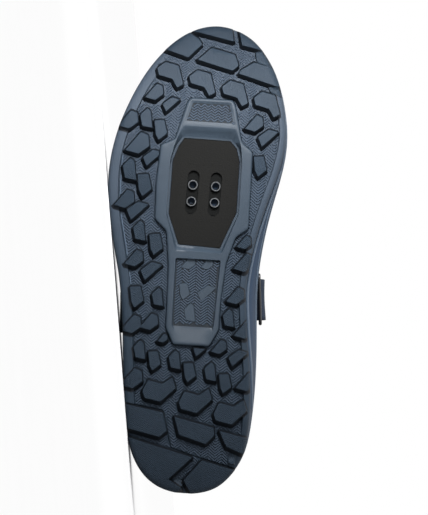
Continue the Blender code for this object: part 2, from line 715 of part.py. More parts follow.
def foot_point(place):
    at = (place % 2) * FOOT_POINTS
    i = int(at)
    a, b = foot_curve[i % len(foot_curve)], foot_curve[(i + 1) % len(foot_curve)]
    x, y = a + (at - i) * (b - a)
    return np.array([x, y, footbed_height(y) + GAP])


def ridge_fall(y):
    """How steeply the ridge over the instep falls towards the toe."""
    y = min(y, SOLE_LENGTH * ridge_rows[-1][1] / 100)
    return float(ridge_height(y - MM) - ridge_height(y)) / MM


def meridian(place):
    """The last's section at a place: its four control points, its half width and its share of the way to the toe."""
    share = place if place <= 1 else 2 - place
    side = 1 if place <= 1 else -1
    top_along, top_height, half, rise, flare, reach, drop = (float(curve(share)) for curve in section)
    half *= BALL_WIDTH
    foot = foot_point(place)
    top_y = top_along * SOLE_LENGTH
    top = np.array([float(ridge_x(top_y)) + side * half, top_y, top_height * INSTEP_HEIGHT])
    out = foot - top
    out[2] = 0
    out /= max(np.linalg.norm(out), 1e-9)
    up = np.array([0, 0, 1.0])
    bulge = OUTER_BULGE * math.exp(-(((share - BULGE_PLACE) / BULGE_SPREAD) ** 2)) if side > 0 else 0.0
    low = foot + up * rise * INSTEP_HEIGHT + out * (flare * BALL_WIDTH + bulge)
    reach = reach * BALL_WIDTH + bulge
    on_ridge = smooth_step((share - throat_rear) / (throat_full - throat_rear))
    fall = drop * INSTEP_HEIGHT + on_ridge * out[1] * reach * ridge_fall(top_y)
    high = top + out * reach - up * fall
    return (foot, low, high, top), half, share


def bezier(controls, v):
    a, b, c, d = controls
    w = 1 - v
    return w**3 * a + 3 * w * w * v * b + 3 * w * v * v * c + v**3 * d


def throat_end(controls, half, share):
    """Where a section stops short of the ridge, at the edge of the throat. The throat is cut from behind its
    rear end on, so that its corners are part of the collar."""
    if share < section_shares[5] or half >= THROAT_HALF_WIDTH:
        return 1.0
    low, high = 0.5, 1.0
    for _ in range(30):
        middle = (low + high) / 2
        reach = half + np.linalg.norm((bezier(controls, middle) - controls[3])[:2])
        if reach > THROAT_HALF_WIDTH:
            low = middle
        else:
            high = middle
    return high


def skin_grid(places, steps, trimmed):
    grid = np.empty((len(places), steps + 1, 3))
    for i, place in enumerate(places):
        controls, half, share = meridian(place)
        end = throat_end(controls, half, share) if trimmed else 1.0
        for j in range(steps + 1):
            grid[i, j] = bezier(controls, end * j / steps)
    return grid


def grid_normals(grid, closed):
    """Outward normals of a grid of points whose rows run round the shoe and columns up it."""
    if closed:
        around = np.roll(grid, -1, 0) - np.roll(grid, 1, 0)
    else:
        around = np.gradient(grid, axis=0)
    rising = np.gradient(grid, axis=1)
    normals = np.cross(around, rising)
    return normals / np.maximum(np.linalg.norm(normals, axis=2, keepdims=True), 1e-12)


def shell_solid(name, outer, inner, closed, material):
    """A wall between two grids of points; closed joins the last row to the first."""
    rows, columns = outer.shape[:2]
    count = rows * columns
    points = np.vstack([outer.reshape(-1, 3), inner.reshape(-1, 3)])
    index = lambda i, j: (i % rows) * columns + j
    polygons = []
    for i in range(rows if closed else rows - 1):
        for j in range(columns - 1):
            quad = (index(i, j), index(i + 1, j), index(i + 1, j + 1), index(i, j + 1))
            polygons += [quad, tuple(k + count for k in quad[::-1])]
        a, b = index(i, columns - 1), index(i + 1, columns - 1)
        polygons.append((a, b, b + count, a + count))
        a, b = index(i, 0), index(i + 1, 0)
        polygons.append((b, a, a + count, b + count))
    if not closed:
        for j in range(columns - 1):
            a, b = index(0, j), index(0, j + 1)
            polygons.append((a, b, b + count, a + count))
            a, b = index(rows - 1, j), index(rows - 1, j + 1)
            polygons.append((b, a, a + count, b + count))
    return new_object(name, points, polygons, material)


def smooth_step(t):
    t = np.clip(t, 0, 1)
    return t * t * (3 - 2 * t)


def build_upper(material):
    places = np.arange(2 * SIDE_POINTS) / SIDE_POINTS
    outer = skin_grid(places, UPPER_RINGS, True)
    normals = grid_normals(outer, True)
    rise = np.arange(UPPER_RINGS + 1) / UPPER_RINGS
    pad = smooth_step((rise - PAD_START) / (PAD_FULL - PAD_START))
    pad *= 1 - (1 - PAD_EDGE) * smooth_step((rise - PAD_THINS) / (1 - PAD_THINS))
    shares = np.where(places <= 1, places, 2 - places)
    round_collar = 1 - smooth_step((shares - section_shares[3]) / (section_shares[6] - section_shares[3]))
    wall = WALL + COLLAR_PAD * round_collar[:, None] * pad[None, :]
    inner = outer - normals * wall[:, :, None]
    inner[:, 0, 2] = outer[:, 0, 2]
    return shell_solid("upper", outer, inner, True, material)


def closed_skin():
    """The last's skin without a throat, for laying pieces on it."""
    count = 6 * SIDE_POINTS
    grid = skin_grid(2 * np.arange(count) / count, 4 * UPPER_RINGS, False)
    rows, columns = grid.shape[:2]
    polygons = []
    for i in range(rows):
        for j in range(columns - 1):
            a, b = i * columns + j, (i + 1) % rows * columns + j
            polygons += [(a, b, b + 1), (a, b + 1, a + 1)]
    return BVHTree.FromPolygons([tuple(p) for p in grid.reshape(-1, 3)], polygons)


def on_skin(tree, origin, direction):
    """The outermost point of the skin from a place inside, and the skin's outward normal there."""
    direction = Vector(direction).normalized()
    found, normal, _, _ = tree.ray_cast(Vector(origin) + direction * 0.4, -direction)
    point, normal = np.array(found), np.array(normal)
    if normal @ np.array(direction) < 0:
        normal = -normal
    return point, normal


def overlay(name, ends, rows, columns, top_shares, material):
    """A thin panel laid on the upper, from just above the midsole's rim up to a share of each section."""
    first, last = ends
    places = np.linspace(first, last, rows)
    high = hermite(np.linspace(first, last, len(top_shares)), top_shares)
    grid = np.empty((rows, columns, 3))
    for i, place in enumerate(places):
        controls, _, _ = meridian(place % 2)
        rim = controls[0][2] + RIM_HEIGHT + SKIN_GAP
        start = next(v for v in np.linspace(0, 0.6, 241) if bezier(controls, v)[2] > rim)
        stop = max(float(high(place)), start + LEAST_PANEL)
        for j in range(columns):
            grid[i, j] = bezier(controls, start + (stop - start) * j / (columns - 1))
    normals = grid_normals(grid, False)
    return shell_solid(
        name, grid + normals * (SKIN_GAP + PATCH_THICKNESS), grid + normals * SKIN_GAP, False, material
    )


def top_panel(name, tree, stations, widths, low, high, material, seat=0.0, head=()):
    """A panel on the ridge of the instep, between two heights over the skin, with its rows closer at its front.
    Its front end rises by seat, to where it is sewn in. A head goes on past its rear end and stands up there."""
    half = hermite(stations, widths)
    spacing = np.linspace(0, 1, PANEL_ROWS)
    spacing = (spacing + np.sin(spacing * math.pi / 2)) / 2
    rows = stations[0] + (stations[-1] - stations[0]) * spacing
    base = np.empty((PANEL_ROWS, PANEL_COLUMNS, 3))
    for i, y in enumerate(rows):
        for j, turn in enumerate(np.linspace(1, -1, PANEL_COLUMNS)):
            x = float(ridge_x(y)) + turn * float(half(y))
            base[i, j] = on_skin(tree, (x, y, INSTEP_HEIGHT / 2), (0, 0, 1))[0]
    normals = grid_normals(base, False)
    base += normals * seat * smooth_step((spacing - 1 + SEAT_SHARE) / SEAT_SHARE)[:, None, None]
    inner, outer = base + normals * low, base + normals * high
    neck, neck_normals = outer[0], normals[0]
    middle = neck[PANEL_COLUMNS // 2]
    crown = middle[2] - neck[:, 2]
    place = np.zeros(3)
    for k, (share, climb, width) in enumerate(head, 1):
        climb = math.radians(climb)
        place = place + TONGUE_REACH * share * np.array([0, -math.cos(climb), math.sin(climb)])
        raised = np.array([0, math.sin(climb), math.cos(climb)])
        flatter = 1 - HEAD_FLATTENING * k / len(head)
        front = middle + place - crown[:, None] * flatter * raised
        front[:, 0] = middle[0] + (neck[:, 0] - middle[0]) * width
        through = neck_normals * (1 - k / len(head)) + raised * k / len(head)
        through /= np.linalg.norm(through, axis=1)[:, None]
        outer = np.vstack([front[None], outer])
        inner = np.vstack([(front - through * (high - low))[None], inner])
    return shell_solid(name, outer, inner, False, material)


def strap_path(tree, shift, stops):
    """Points of the strap's middle surface, for one line along it, shift metres to the toe from its middle."""
    middle = hermite([stops[-1], 0, stops[0]], along([STRAP_ALONG[2], STRAP_ALONG[1], STRAP_ALONG[0]]))
    points = []
    for turn, lift in strap_turns(stops):
        y = float(middle(turn)) + shift
        point, normal = on_skin(tree, (float(ridge_x(y)), y, STRAP_AXIS), (math.sin(turn), 0, math.cos(turn)))
        points.append(point + normal * (STRAP_OFFSET + STRAP_THICKNESS / 2 + lift))
    return np.array(points)


def strap_turns(stops):
    outer, inner = stops
    for turn in np.linspace(outer, inner, STRAP_ROWS):
        lift = STRAP_LIFT * float(smooth_step((turn / outer - 0.55) / 0.45)) if turn > 0 else 0.0
        yield turn, lift


def ribbon(name, lines, thickness, material):
    """A strip through lines of points that run side by side, with its thickness on both sides."""
    grid = np.array(lines).transpose(1, 0, 2)
    normals = np.cross(np.gradient(grid, axis=1), np.gradient(grid, axis=0))
    normals /= np.linalg.norm(normals, axis=2, keepdims=True)
    return shell_solid(name, grid + normals * thickness / 2, grid - normals * thickness / 2, False, material)


def build_strap(tree, material, loop_material):
    stops = (STRAP_REACH[0], -STRAP_REACH[1])
    bend = LOOP_RADIUS + 2 * SKIN_GAP + STRAP_THICKNESS / 2
    lines, centres = [], []
    for shift in np.linspace(-0.5, 0.5, STRAP_LINES) * STRAP_WIDTH:
        path = strap_path(tree, shift, stops)
        heading = path[-1] - path[-2]
        heading /= np.linalg.norm(heading)
        outward = np.cross(heading, (0, 1, 0))
        if outward[0] > 0:
            outward = -outward
        outward /= np.linalg.norm(outward)
        centre = path[-1] + outward * bend
        fold = [centre - bend * (outward * math.cos(a) - heading * math.sin(a))
                for a in np.linspace(0, math.pi, 7)[1:]]
        back = []
        for k in range(1, 8):
            lift = STRAP_THICKNESS + 2 * GAP + (2 * bend - STRAP_THICKNESS - 2 * GAP) * (1 - smooth_step(k / 5))
            towards = path[-1 - k] - path[max(-2 - k, -len(path))]
            side = np.cross(towards, (0, 1, 0))
            side /= np.linalg.norm(side)
            if side @ outward < 0:
                side = -side
            back.append(path[-1 - k] + side * lift)
        lines.append(np.vstack([path, fold, back]))
        centres.append((centre, heading, outward))
    strap = ribbon("instep_strap", lines, STRAP_THICKNESS, material)
    first, last = centres[0][0], centres[-1][0]
    along_bar = (last - first) / np.linalg.norm(last - first)
    overhang = LOOP_CORNER + SKIN_GAP
    first, last = first - along_bar * overhang, last + along_bar * overhang
    heading = sum(c[1] for c in centres)
    heading /= np.linalg.norm(heading)
    outward = np.cross(heading, along_bar)
    if outward[0] > 0:
        outward = -outward
    drop = heading * LOOP_LENGTH - outward * LOOP_TILT
    corners = [first, last, last + drop, first + drop]
    loop = rounded_ring("strap_loop", corners, LOOP_CORNER, LOOP_RADIUS, loop_material)
    return strap, loop


def rounded_ring(name, corners, corner_radius, radius, material):
    """A round bar bent into a closed four-sided ring with rounded corners."""
    path = []
    for k in range(4):
        before, here, after = corners[k - 1], corners[k], corners[(k + 1) % 4]
        a = (before - here) / np.linalg.norm(before - here)
        b = (after - here) / np.linalg.norm(after - here)
        start, stop = here + a * corner_radius, here + b * corner_radius
        for t in (0.0, 0.33, 0.67, 1.0):
            path.append((1 - t) ** 2 * start + 2 * t * (1 - t) * here + t * t * stop)
    path = np.array(path)
    ahead = np.roll(path, -1, 0) - np.roll(path, 1, 0)
    ahead /= np.linalg.norm(ahead, axis=1)[:, None]
    across_ring = np.cross(corners[1] - corners[0], corners[3] - corners[0])
    across_ring /= np.linalg.norm(across_ring)
    points, polygons = [], []
    for p, direction in zip(path, ahead):
        side = np.cross(direction, across_ring)
        for k in range(BAR_SIDES):
            turn = 2 * math.pi * k / BAR_SIDES
            points.append(p + radius * (math.cos(turn) * across_ring + math.sin(turn) * side))
    count = len(path)
    for i in range(count):
        for k in range(BAR_SIDES):
            here, ahead_of_it, beside = i * BAR_SIDES, (i + 1) % count * BAR_SIDES, (k + 1) % BAR_SIDES
            polygons.append((here + k, ahead_of_it + k, ahead_of_it + beside, here + beside))
    piece = new_object(name, points, polygons, material)
    point_outwards(piece)
    return piece


def point_outwards(piece):
    mesh = bmesh.new()
    mesh.from_mesh(piece.data)
    bmesh.ops.recalc_face_normals(mesh, faces=mesh.faces)
    mesh.to_mesh(piece.data)
    mesh.free()


# Resting place
def weight_and_centre(pieces):
    total, moment = 0.0, np.zeros(3)
    for piece, density in pieces:
        mesh = piece.data
        mesh.calc_loop_triangles()
        points = np.array([v.co for v in mesh.vertices])
        a, b, c = (points[[t.vertices[k] for t in mesh.loop_triangles]] for k in range(3))
        volumes = np.einsum("ij,ij->i", a, np.cross(b, c)) / 6
        total += density * volumes.sum()
        moment += density * (volumes[:, None] * (a + b + c) / 4).sum(0)
    return total, moment / total


def resting_plane(pieces, centre):
    """The face of the whole shoe's hull on its outer side that its weight holds it on: a point and a normal."""
    hull = bmesh.new()
    for piece, _ in pieces:
        for vertex in piece.data.vertices:
            hull.verts.new(vertex.co)
    bmesh.ops.convex_hull(hull, input=hull.verts, use_existing_faces=False)
    best = None
    for face in hull.faces:
        face.normal_update()
        normal = np.array(face.normal)
        if normal[0] < LEAST_SIDEWAYS:
            continue
        corners = np.array([v.co for v in face.verts])
        foot = centre + normal * ((corners[0] - centre) @ normal)
        turns = [np.cross(corners[(k + 1) % 3] - corners[k], foot - corners[k]) @ normal for k in range(3)]
        if min(turns) >= 0 and (best is None or face.calc_area() > best[0]):
            best = (face.calc_area(), corners[0], normal)
    hull.free()
    return best[1], best[2]


def shave(piece, point, normal):
    """Cuts a piece flat where it lies on the floor."""
    reach = np.array([np.array(v.co) @ normal for v in piece.data.vertices]).max()
    if reach <= point @ normal + MERGE:
        return
    mesh = bmesh.new()
    mesh.from_mesh(piece.data)
    everything = list(mesh.verts) + list(mesh.edges) + list(mesh.faces)
    bmesh.ops.bisect_plane(
        mesh, geom=everything, dist=MERGE, plane_co=Vector(point), plane_no=Vector(normal), clear_outer=True
    )
    bmesh.ops.holes_fill(mesh, edges=[edge for edge in mesh.edges if edge.is_boundary], sides=0)
    bmesh.ops.recalc_face_normals(mesh, faces=mesh.faces)
    mesh.to_mesh(piece.data)
    mesh.free()


def lay_down(pieces):
    _, centre = weight_and_centre(pieces)
    point, normal = resting_plane(pieces, centre)
    point = point - normal * REST_FLAT
    for piece, _ in pieces:
        shave(piece, point, normal)
    forward = np.array([0, 1.0, 0])
    axis_z = -normal
    axis_x = -(forward - (forward @ normal) * normal)
    axis_x /= np.linalg.norm(axis_x)
    axes = np.array([axis_x, np.cross(axis_z, axis_x), axis_z])
    points = np.vstack([[axes @ np.array(v.co) for v in piece.data.vertices] for piece, _ in pieces])
    low, high = points.min(0), points.max(0)
    place = Matrix(axes.tolist()).to_4x4()
    place.translation = (-(low[0] + high[0]) / 2, -(low[1] + high[1]) / 2, -low[2])
    resting = bpy.data.objects.new("resting_place", None)
    bpy.context.scene.collection.objects.link(resting)
    resting.matrix_world = place
    for piece, _ in pieces:
        piece.parent = resting


def main():
    for old in list(bpy.data.objects):
        bpy.data.objects.remove(old)
    rubber = new_material("moulded rubber", (0.115, 0.145, 0.185), 0.75)
    nylon = new_material("moulded nylon", (0.060, 0.085, 0.125), 0.45)
    dark_plate = new_material("glass-filled nylon", (0.026, 0.026, 0.024), 0.6)
    steel = new_material("zinc-plated steel", (0.55, 0.55, 0.54), 0.35, 1.0)
    foam = new_material("moulded foam", (0.050, 0.068, 0.100), 0.7)
    insole_cloth = new_material("insole cloth", (0.020, 0.022, 0.026), 0.9)
    leather = new_material("synthetic leather", (0.034, 0.048, 0.080), 0.5)
    overlay_film = new_material("welded film", (0.022, 0.032, 0.052), 0.38)
    mesh_cloth = new_material("tongue cloth", (0.028, 0.036, 0.055), 0.85)
    webbing = new_material("strap", (0.012, 0.016, 0.024), 0.6)
    loop_plastic = new_material("acetal", (0.010, 0.010, 0.011), 0.35)
    tree = closed_skin()
    plate, nuts = build_plates(dark_plate, steel)
    strap, loop = build_strap(tree, webbing, loop_plastic)
    tongue_high = -(WALL + TONGUE_GAP)
    tongue_low = tongue_high - TONGUE_THICKNESS
    pieces = [
        (build_outsole(rubber), 1150),
        (build_frame(nylon), 1150),
        (plate, 1300),
        (nuts, 7850),
        (build_midsole(foam), 260),
        (build_insole(insole_cloth), 250),
        (build_upper(leather), 700),
        (top_panel("tongue", tree, along(TONGUE_STATIONS), across(TONGUE_HALF_WIDTHS), tongue_low, tongue_high,
                   mesh_cloth, TONGUE_GAP - TONGUE_SEAT, TONGUE_HEAD), 200),
        (top_panel("throat_cover", tree, along(COVER_STATIONS), across(COVER_HALF_WIDTHS), COVER_GAP,
                   COVER_GAP + COVER_THICKNESS, leather), 700),
        (overlay("toe_cap", TOE_CAP_ENDS, 23, 6, TOE_CAP_TOP, overlay_film), 1100),
        (overlay("heel_counter", COUNTER_ENDS, 25, 6, COUNTER_TOP, overlay_film), 1100),
        (strap, 900),
        (loop, 1400),
    ]
    lay_down(pieces)


main()
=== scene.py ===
import json
import math

import bmesh
import bpy
import numpy as np
from mathutils.bvhtree import BVHTree
from mathutils import Matrix, Vector
from mathutils.geometry import delaunay_2d_cdt


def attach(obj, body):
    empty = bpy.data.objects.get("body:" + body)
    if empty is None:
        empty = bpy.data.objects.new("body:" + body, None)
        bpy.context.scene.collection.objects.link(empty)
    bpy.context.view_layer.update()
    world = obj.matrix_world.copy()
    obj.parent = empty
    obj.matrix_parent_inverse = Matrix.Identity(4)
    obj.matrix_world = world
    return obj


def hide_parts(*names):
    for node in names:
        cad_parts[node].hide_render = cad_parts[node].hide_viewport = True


# The dressed cycling shoe. Lengths are metres, and the tread's drawing is in millimetres:
# across is to the inner side of the foot, along is from the heel's end to the toe's
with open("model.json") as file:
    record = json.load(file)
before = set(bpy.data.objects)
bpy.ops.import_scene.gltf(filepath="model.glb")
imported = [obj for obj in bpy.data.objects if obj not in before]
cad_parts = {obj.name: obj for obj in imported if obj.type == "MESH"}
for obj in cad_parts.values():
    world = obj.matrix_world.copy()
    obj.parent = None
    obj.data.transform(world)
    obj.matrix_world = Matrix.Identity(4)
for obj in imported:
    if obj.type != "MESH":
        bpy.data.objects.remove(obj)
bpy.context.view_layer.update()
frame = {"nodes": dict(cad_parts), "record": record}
mm = 0.001
touching = 0.02  # a spot this near to a loop, in millimetres, counts as on it

# How the shoe lies is read from the cleat plate: its face and its place in the sole's drawing
plateMark = {"across": -1.5, "along": 161.0, "level": 5.8}


def layMatrix():
    plate = next(m for m in frame["record"]["mounts"] if m["name"] == "cleat_face")
    up = -Vector(plate["axis"]).normalized()
    forward = Vector((-up.z, 0, up.x)).normalized()
    matrix = Matrix((forward.cross(up), forward, up)).transposed().to_4x4()
    mark = Vector((-plateMark["across"], plateMark["along"], plateMark["level"])) * mm
    matrix.translation = Vector(plate["pos_m"]) - matrix.to_3x3() @ mark
    return matrix


toWorld = layMatrix()
toShoe = toWorld.inverted()


# Curves through short tables
def smoothCurve(xs, ys):
    # a smooth cubic between neighbours, whose slope at each is set by the two beside it
    xs, ys = np.asarray(xs, float), np.asarray(ys, float)
    steps = np.diff(xs)
    rates = np.diff(ys) / steps
    slopes = np.empty(len(xs))
    slopes[0], slopes[-1] = rates[0], rates[-1]
    slopes[1:-1] = (rates[:-1] * steps[1:] + rates[1:] * steps[:-1]) / (steps[:-1] + steps[1:])

    def value(x):
        x = np.clip(np.asarray(x, float), xs[0], xs[-1])
        i = np.clip(np.searchsorted(xs, x, side="right") - 1, 0, len(xs) - 2)
        t = (x - xs[i]) / steps[i]
        a, b = ys[i], ys[i + 1]
        p, q = slopes[i] * steps[i], slopes[i + 1] * steps[i]
        return a + t * (p + t * (3 * (b - a) - 2 * p - q + t * (p + q - 2 * (b - a))))

    return value


# Sole sizes in millimetres
sole = {
    "length": 290.0, "toeSpring": 22.0, "lugHeight": 4.2, "railHeight": 2.6, "edgeRound": 3.4,
    "outerRail": 6.8, "innerRail": 4.6, "baseThickness": 3.6, "plateLevel": 5.8, "crestDrop": 1.0,
    "railWall": 0.7, "gap": 0.3, "edgePoints": 150, "meshStep": 4.0,
}

# Half widths of the sole and how far the tread's edge lies inside it on the inner side
outlineTable = (
    # along, outer, inner, tuck
    (0, 2.5, -2.5, 0.3), (4, 20.0, 15.5, 0.3), (12, 29.7, 24.8, 0.4), (25, 37.0, 32.5, 0.6),
    (50, 42.2, 36.4, 1.6), (80, 45.0, 37.2, 4.0), (105, 47.0, 36.2, 6.2), (130, 50.3, 34.8, 6.4),
    (155, 55.8, 36.9, 5.2), (180, 60.0, 41.3, 3.5), (200, 60.2, 46.2, 2.4), (220, 56.8, 48.5, 1.2),
    (240, 50.0, 45.8, 0.5), (260, 40.0, 39.8, 0.3), (280, 23.0, 26.5, 0.3), (290, -2.0, 2.0, 0.3),
)
groundTable = (
    (0, 0.25), (14, 0.09), (30, 0.02), (45, 0.0), (75, 0.0), (105, 0.05), (135, 0.08), (165, 0.045),
    (190, 0.0), (212, 0.0), (232, 0.09), (252, 0.28), (272, 0.60), (290, 1.0),
)


def shareAt(y):
    # a place along the sole as a share of a half turn, so that the outline closes roundly at both ends
    return np.arccos(np.clip(1 - 2 * np.asarray(y, float) / sole["length"], -1, 1)) / math.pi


tableShares = shareAt([row[0] for row in outlineTable])
outerEdge = smoothCurve(tableShares, [row[1] for row in outlineTable])
innerEdge = smoothCurve(tableShares, [row[2] for row in outlineTable])
treadTuck = smoothCurve(tableShares, [row[3] for row in outlineTable])
groundAt = smoothCurve([r[0] for r in groundTable], [sole["toeSpring"] * r[1] for r in groundTable])


def treadEdge(count):
    # up the outer side from the heel and down the inner one
    up = np.arange(count + 1) / count
    down = up[-2:0:-1]
    y = sole["length"] * (1 - np.cos(math.pi * np.concatenate([up, down]))) / 2
    x = np.concatenate([outerEdge(up), -(innerEdge(down) - treadTuck(down))])
    return np.column_stack([x, y])


def inset(loop, distance):
    # every corner moves inwards along its bisector; a negative distance moves it out
    loop = np.asarray(loop, float)
    before, after = loop - np.roll(loop, 1, 0), np.roll(loop, -1, 0) - loop
    before /= np.linalg.norm(before, axis=1)[:, None]
    after /= np.linalg.norm(after, axis=1)[:, None]
    bisector = np.column_stack([-(before + after)[:, 1], (before + after)[:, 0]])
    bisector /= np.linalg.norm(bisector, axis=1)[:, None]
    inward = np.column_stack([-after[:, 1], after[:, 0]])
    stretch = np.maximum((bisector * inward).sum(1), 0.45)
    return loop + bisector * (np.asarray(distance, float) / stretch)[:, None]


def drawn(points):
    # a loop of the drawing in the shoe's own frame, running anticlockwise
    loop = np.array([(-a, b) for a, b in points], float)
    turned = np.roll(loop, -1, 0)
    area = (loop[:, 0] * turned[:, 1] - turned[:, 0] * loop[:, 1]).sum()
    return loop if area > 0 else loop[::-1]


def rounded(loop, radius, steps=3):
    # each corner becomes a short curve
    points = []
    for k in range(len(loop)):
        before, here, after = loop[k - 1], loop[k], loop[(k + 1) % len(loop)]
        toBefore, toAfter = before - here, after - here
        reach = min(radius, 0.4 * np.linalg.norm(toBefore), 0.4 * np.linalg.norm(toAfter))
        start = here + toBefore / np.linalg.norm(toBefore) * reach
        stop = here + toAfter / np.linalg.norm(toAfter) * reach
        for t in np.linspace(0, 1, steps):
            points.append((1 - t) ** 2 * start + 2 * t * (1 - t) * here + t * t * stop)
    return np.array(points)


def divided(loop, longest):
    # long sides get points in between
    points = []
    for a, b in zip(loop, np.roll(loop, -1, 0)):
        parts = max(1, math.ceil(np.linalg.norm(b - a) / longest))
        points += [a + (b - a) * k / parts for k in range(parts)]
    return np.array(points)


def inside(points, loop):
    x, y = points[:, 0][:, None], points[:, 1][:, None]
    a, b = loop, np.roll(loop, -1, 0)
    crosses = (a[:, 1] > y) != (b[:, 1] > y)
    rise = np.where(b[:, 1] == a[:, 1], 1e-12, b[:, 1] - a[:, 1])
    return (crosses & (x < (b[:, 0] - a[:, 0]) * (y - a[:, 1]) / rise + a[:, 0])).sum(1) % 2 == 1


def distance(points, loop):
    a, b = loop, np.roll(loop, -1, 0)
    span = b - a
    t = ((points[:, None, :] - a) * span).sum(2) / np.maximum((span**2).sum(1), 1e-18)
    nearest = a + np.clip(t, 0, 1)[:, :, None] * span
    return np.linalg.norm(points[:, None, :] - nearest, axis=2).min(1)


def nearBox(points, loop):
    low, high = loop.min(0) - 0.05, loop.max(0) + 0.05
    return ((points >= low) & (points <= high)).all(1)


def gridPoints(outer, holes, step, margin):
    # points that fill a loop evenly, clear of its rim and of its holes
    low, high = outer.min(0), outer.max(0)
    xs, ys = np.meshgrid(np.arange(low[0], high[0], step), np.arange(low[1], high[1], step))
    grid = np.column_stack([xs.ravel(), ys.ravel()])
    keep = inside(grid, outer) & (distance(grid, outer) > margin)
    for hole in holes:
        keep &= ~inside(grid, hole) & (distance(grid, hole) > margin)
    return grid[keep]


def triangulated(loops, points, holes, snap=0.012):
    # the first loop is the outline, the next ones are its holes, and the rest are lines that faces must keep to
    coords, rings = [], []
    for loop in loops:
        rings.append(list(range(len(coords), len(coords) + len(loop))))
        coords += [Vector(p) for p in loop]
    coords += [Vector(p) for p in points]
    found = delaunay_2d_cdt(coords, [], rings, 0, snap)
    plan = np.array([tuple(v) for v in found[0]])
    skipped = set(range(1, 1 + holes))
    faces = np.array([face for face, owners in zip(found[2], found[5])
                      if 0 in owners and not skipped & set(owners)])
    used = np.unique(faces)
    renumber = np.full(len(plan), -1)
    renumber[used] = np.arange(len(used))
    plan, faces = plan[used], renumber[faces]
    a, b, c = (plan[faces[:, k]] for k in range(3))
    clockwise = (b[:, 0] - a[:, 0]) * (c[:, 1] - a[:, 1]) < (b[:, 1] - a[:, 1]) * (c[:, 0] - a[:, 0])
    faces[clockwise] = faces[clockwise][:, ::-1]
    return plan, faces


def rimEdges(faces):
    # edges that belong to one face only
    edges = np.concatenate([faces[:, [0, 1]], faces[:, [1, 2]], faces[:, [2, 0]]])
    pairs = {(int(a), int(b)) for a, b in edges}
    return [(a, b) for a, b in sorted(pairs) if (b, a) not in pairs]


def layered(plan, features):
    # how far each spot is pushed out: every feature is a stack of loops with a level on each
    change = np.zeros(len(plan))
    for loops, levels in features:
        near = np.where(nearBox(plan, loops[0]))[0]
        if not len(near):
            continue
        spots = plan[near]
        away = [distance(spots, loop) for loop in loops]
        within = [inside(spots, loop) | (d < touching) for loop, d in zip(loops, away)]
        part = np.zeros(len(near))
        for k in range(len(loops) - 1):
            blend = away[k] / np.maximum(away[k] + away[k + 1], 1e-9)
            part = np.where(within[k] & ~within[k + 1], levels[k] + (levels[k + 1] - levels[k]) * blend, part)
        part = np.where(within[-1], levels[-1], part)
        change[near] = np.where(np.abs(part) > np.abs(change[near]), part, change[near])
    return change


def linked(name, data):
    piece = bpy.data.objects.new(name, data)
    bpy.context.scene.collection.objects.link(piece)
    return piece


def newObject(name, points, faces, material, smoothAngle=38):
    mesh = bpy.data.meshes.new(name)
    mesh.from_pydata([tuple(map(float, p)) for p in points], [], [tuple(map(int, f)) for f in faces])
    mesh.validate()
    if material:
        mesh.materials.append(material)
    mesh.shade_smooth()
    mesh.set_sharp_from_angle(angle=math.radians(smoothAngle))
    return linked(name, mesh)


def place(piece):
    piece.data.transform(toWorld)
    return piece


def addPlanMap(piece):
    # one unit of the map is 10 mm of the sole's drawing
    mesh = piece.data
    layer = mesh.uv_layers.new(name="plan")
    coords = np.empty(len(mesh.vertices) * 3)
    mesh.vertices.foreach_get("co", coords)
    coords = coords.reshape(-1, 3)
    loopVerts = np.empty(len(mesh.loops), dtype=int)
    mesh.loops.foreach_get("vertex_index", loopVerts)
    layer.data.foreach_set("uv", (coords[loopVerts][:, :2] / 0.01).ravel())


def slabFromPlan(name, outer, holes, loops, step, under, topLevel, material, faceMarks):
    # the underside and the top share one triangulation in plan, with walls along every rim
    grid = gridPoints(outer, holes, step, step * 0.35)
    plan, faces = triangulated([outer, *holes, *loops], grid, len(holes))
    count = len(plan)
    points = np.vstack([np.column_stack([plan, under(plan)]), np.column_stack([plan, topLevel(plan)])]) * mm
    polygons = [tuple(f[::-1]) for f in faces] + [tuple(f + count) for f in faces]
    polygons += [(a, b, b + count, a + count) for a, b in rimEdges(faces)]
    piece = newObject(name, points, polygons, material)
    centres = np.array([p.center for p in piece.data.polygons]) / mm
    below = np.array([p.normal.z < 0.2 for p in piece.data.polygons])
    for mark, values in faceMarks(centres[:, :2]).items():
        layer = piece.data.attributes.new(mark, "FLOAT", "FACE")
        layer.data.foreach_set("value", (values * below).astype(np.float32))
    addPlanMap(piece)
    return place(piece)


# Colours and shader nodes
def colour(code):
    channels = [int(code[k:k + 2], 16) / 255 for k in (1, 3, 5)]
    return tuple(c / 12.92 if c <= 0.04045 else ((c + 0.055) / 1.055) ** 2.4 for c in channels) + (1,)


def addNode(tree, kind, feeds=None, **settings):
    # feeds: what each input takes, by its name or number, as another node's output or a plain value
    node = tree.nodes.new(kind)
    for key, value in settings.items():
        setattr(node, key, value)
    for key, value in (feeds or {}).items():
        if isinstance(value, bpy.types.NodeSocket):
            tree.links.new(value, node.inputs[key])
        else:
            node.inputs[key].default_value = value
    return node


def newMaterial(name, roughness, ior=1.5, metallic=0.0, base="#808080", sockets=None):
    material = bpy.data.materials.new(name)
    material.use_nodes = True
    shader = material.node_tree.nodes["Principled BSDF"]
    shader.inputs["Base Color"].default_value = colour(base)
    shader.inputs["Roughness"].default_value = roughness
    shader.inputs["IOR"].default_value = ior
    shader.inputs["Metallic"].default_value = metallic
    for key, value in (sockets or {}).items():
        shader.inputs[key].default_value = value
    return material, material.node_tree, shader


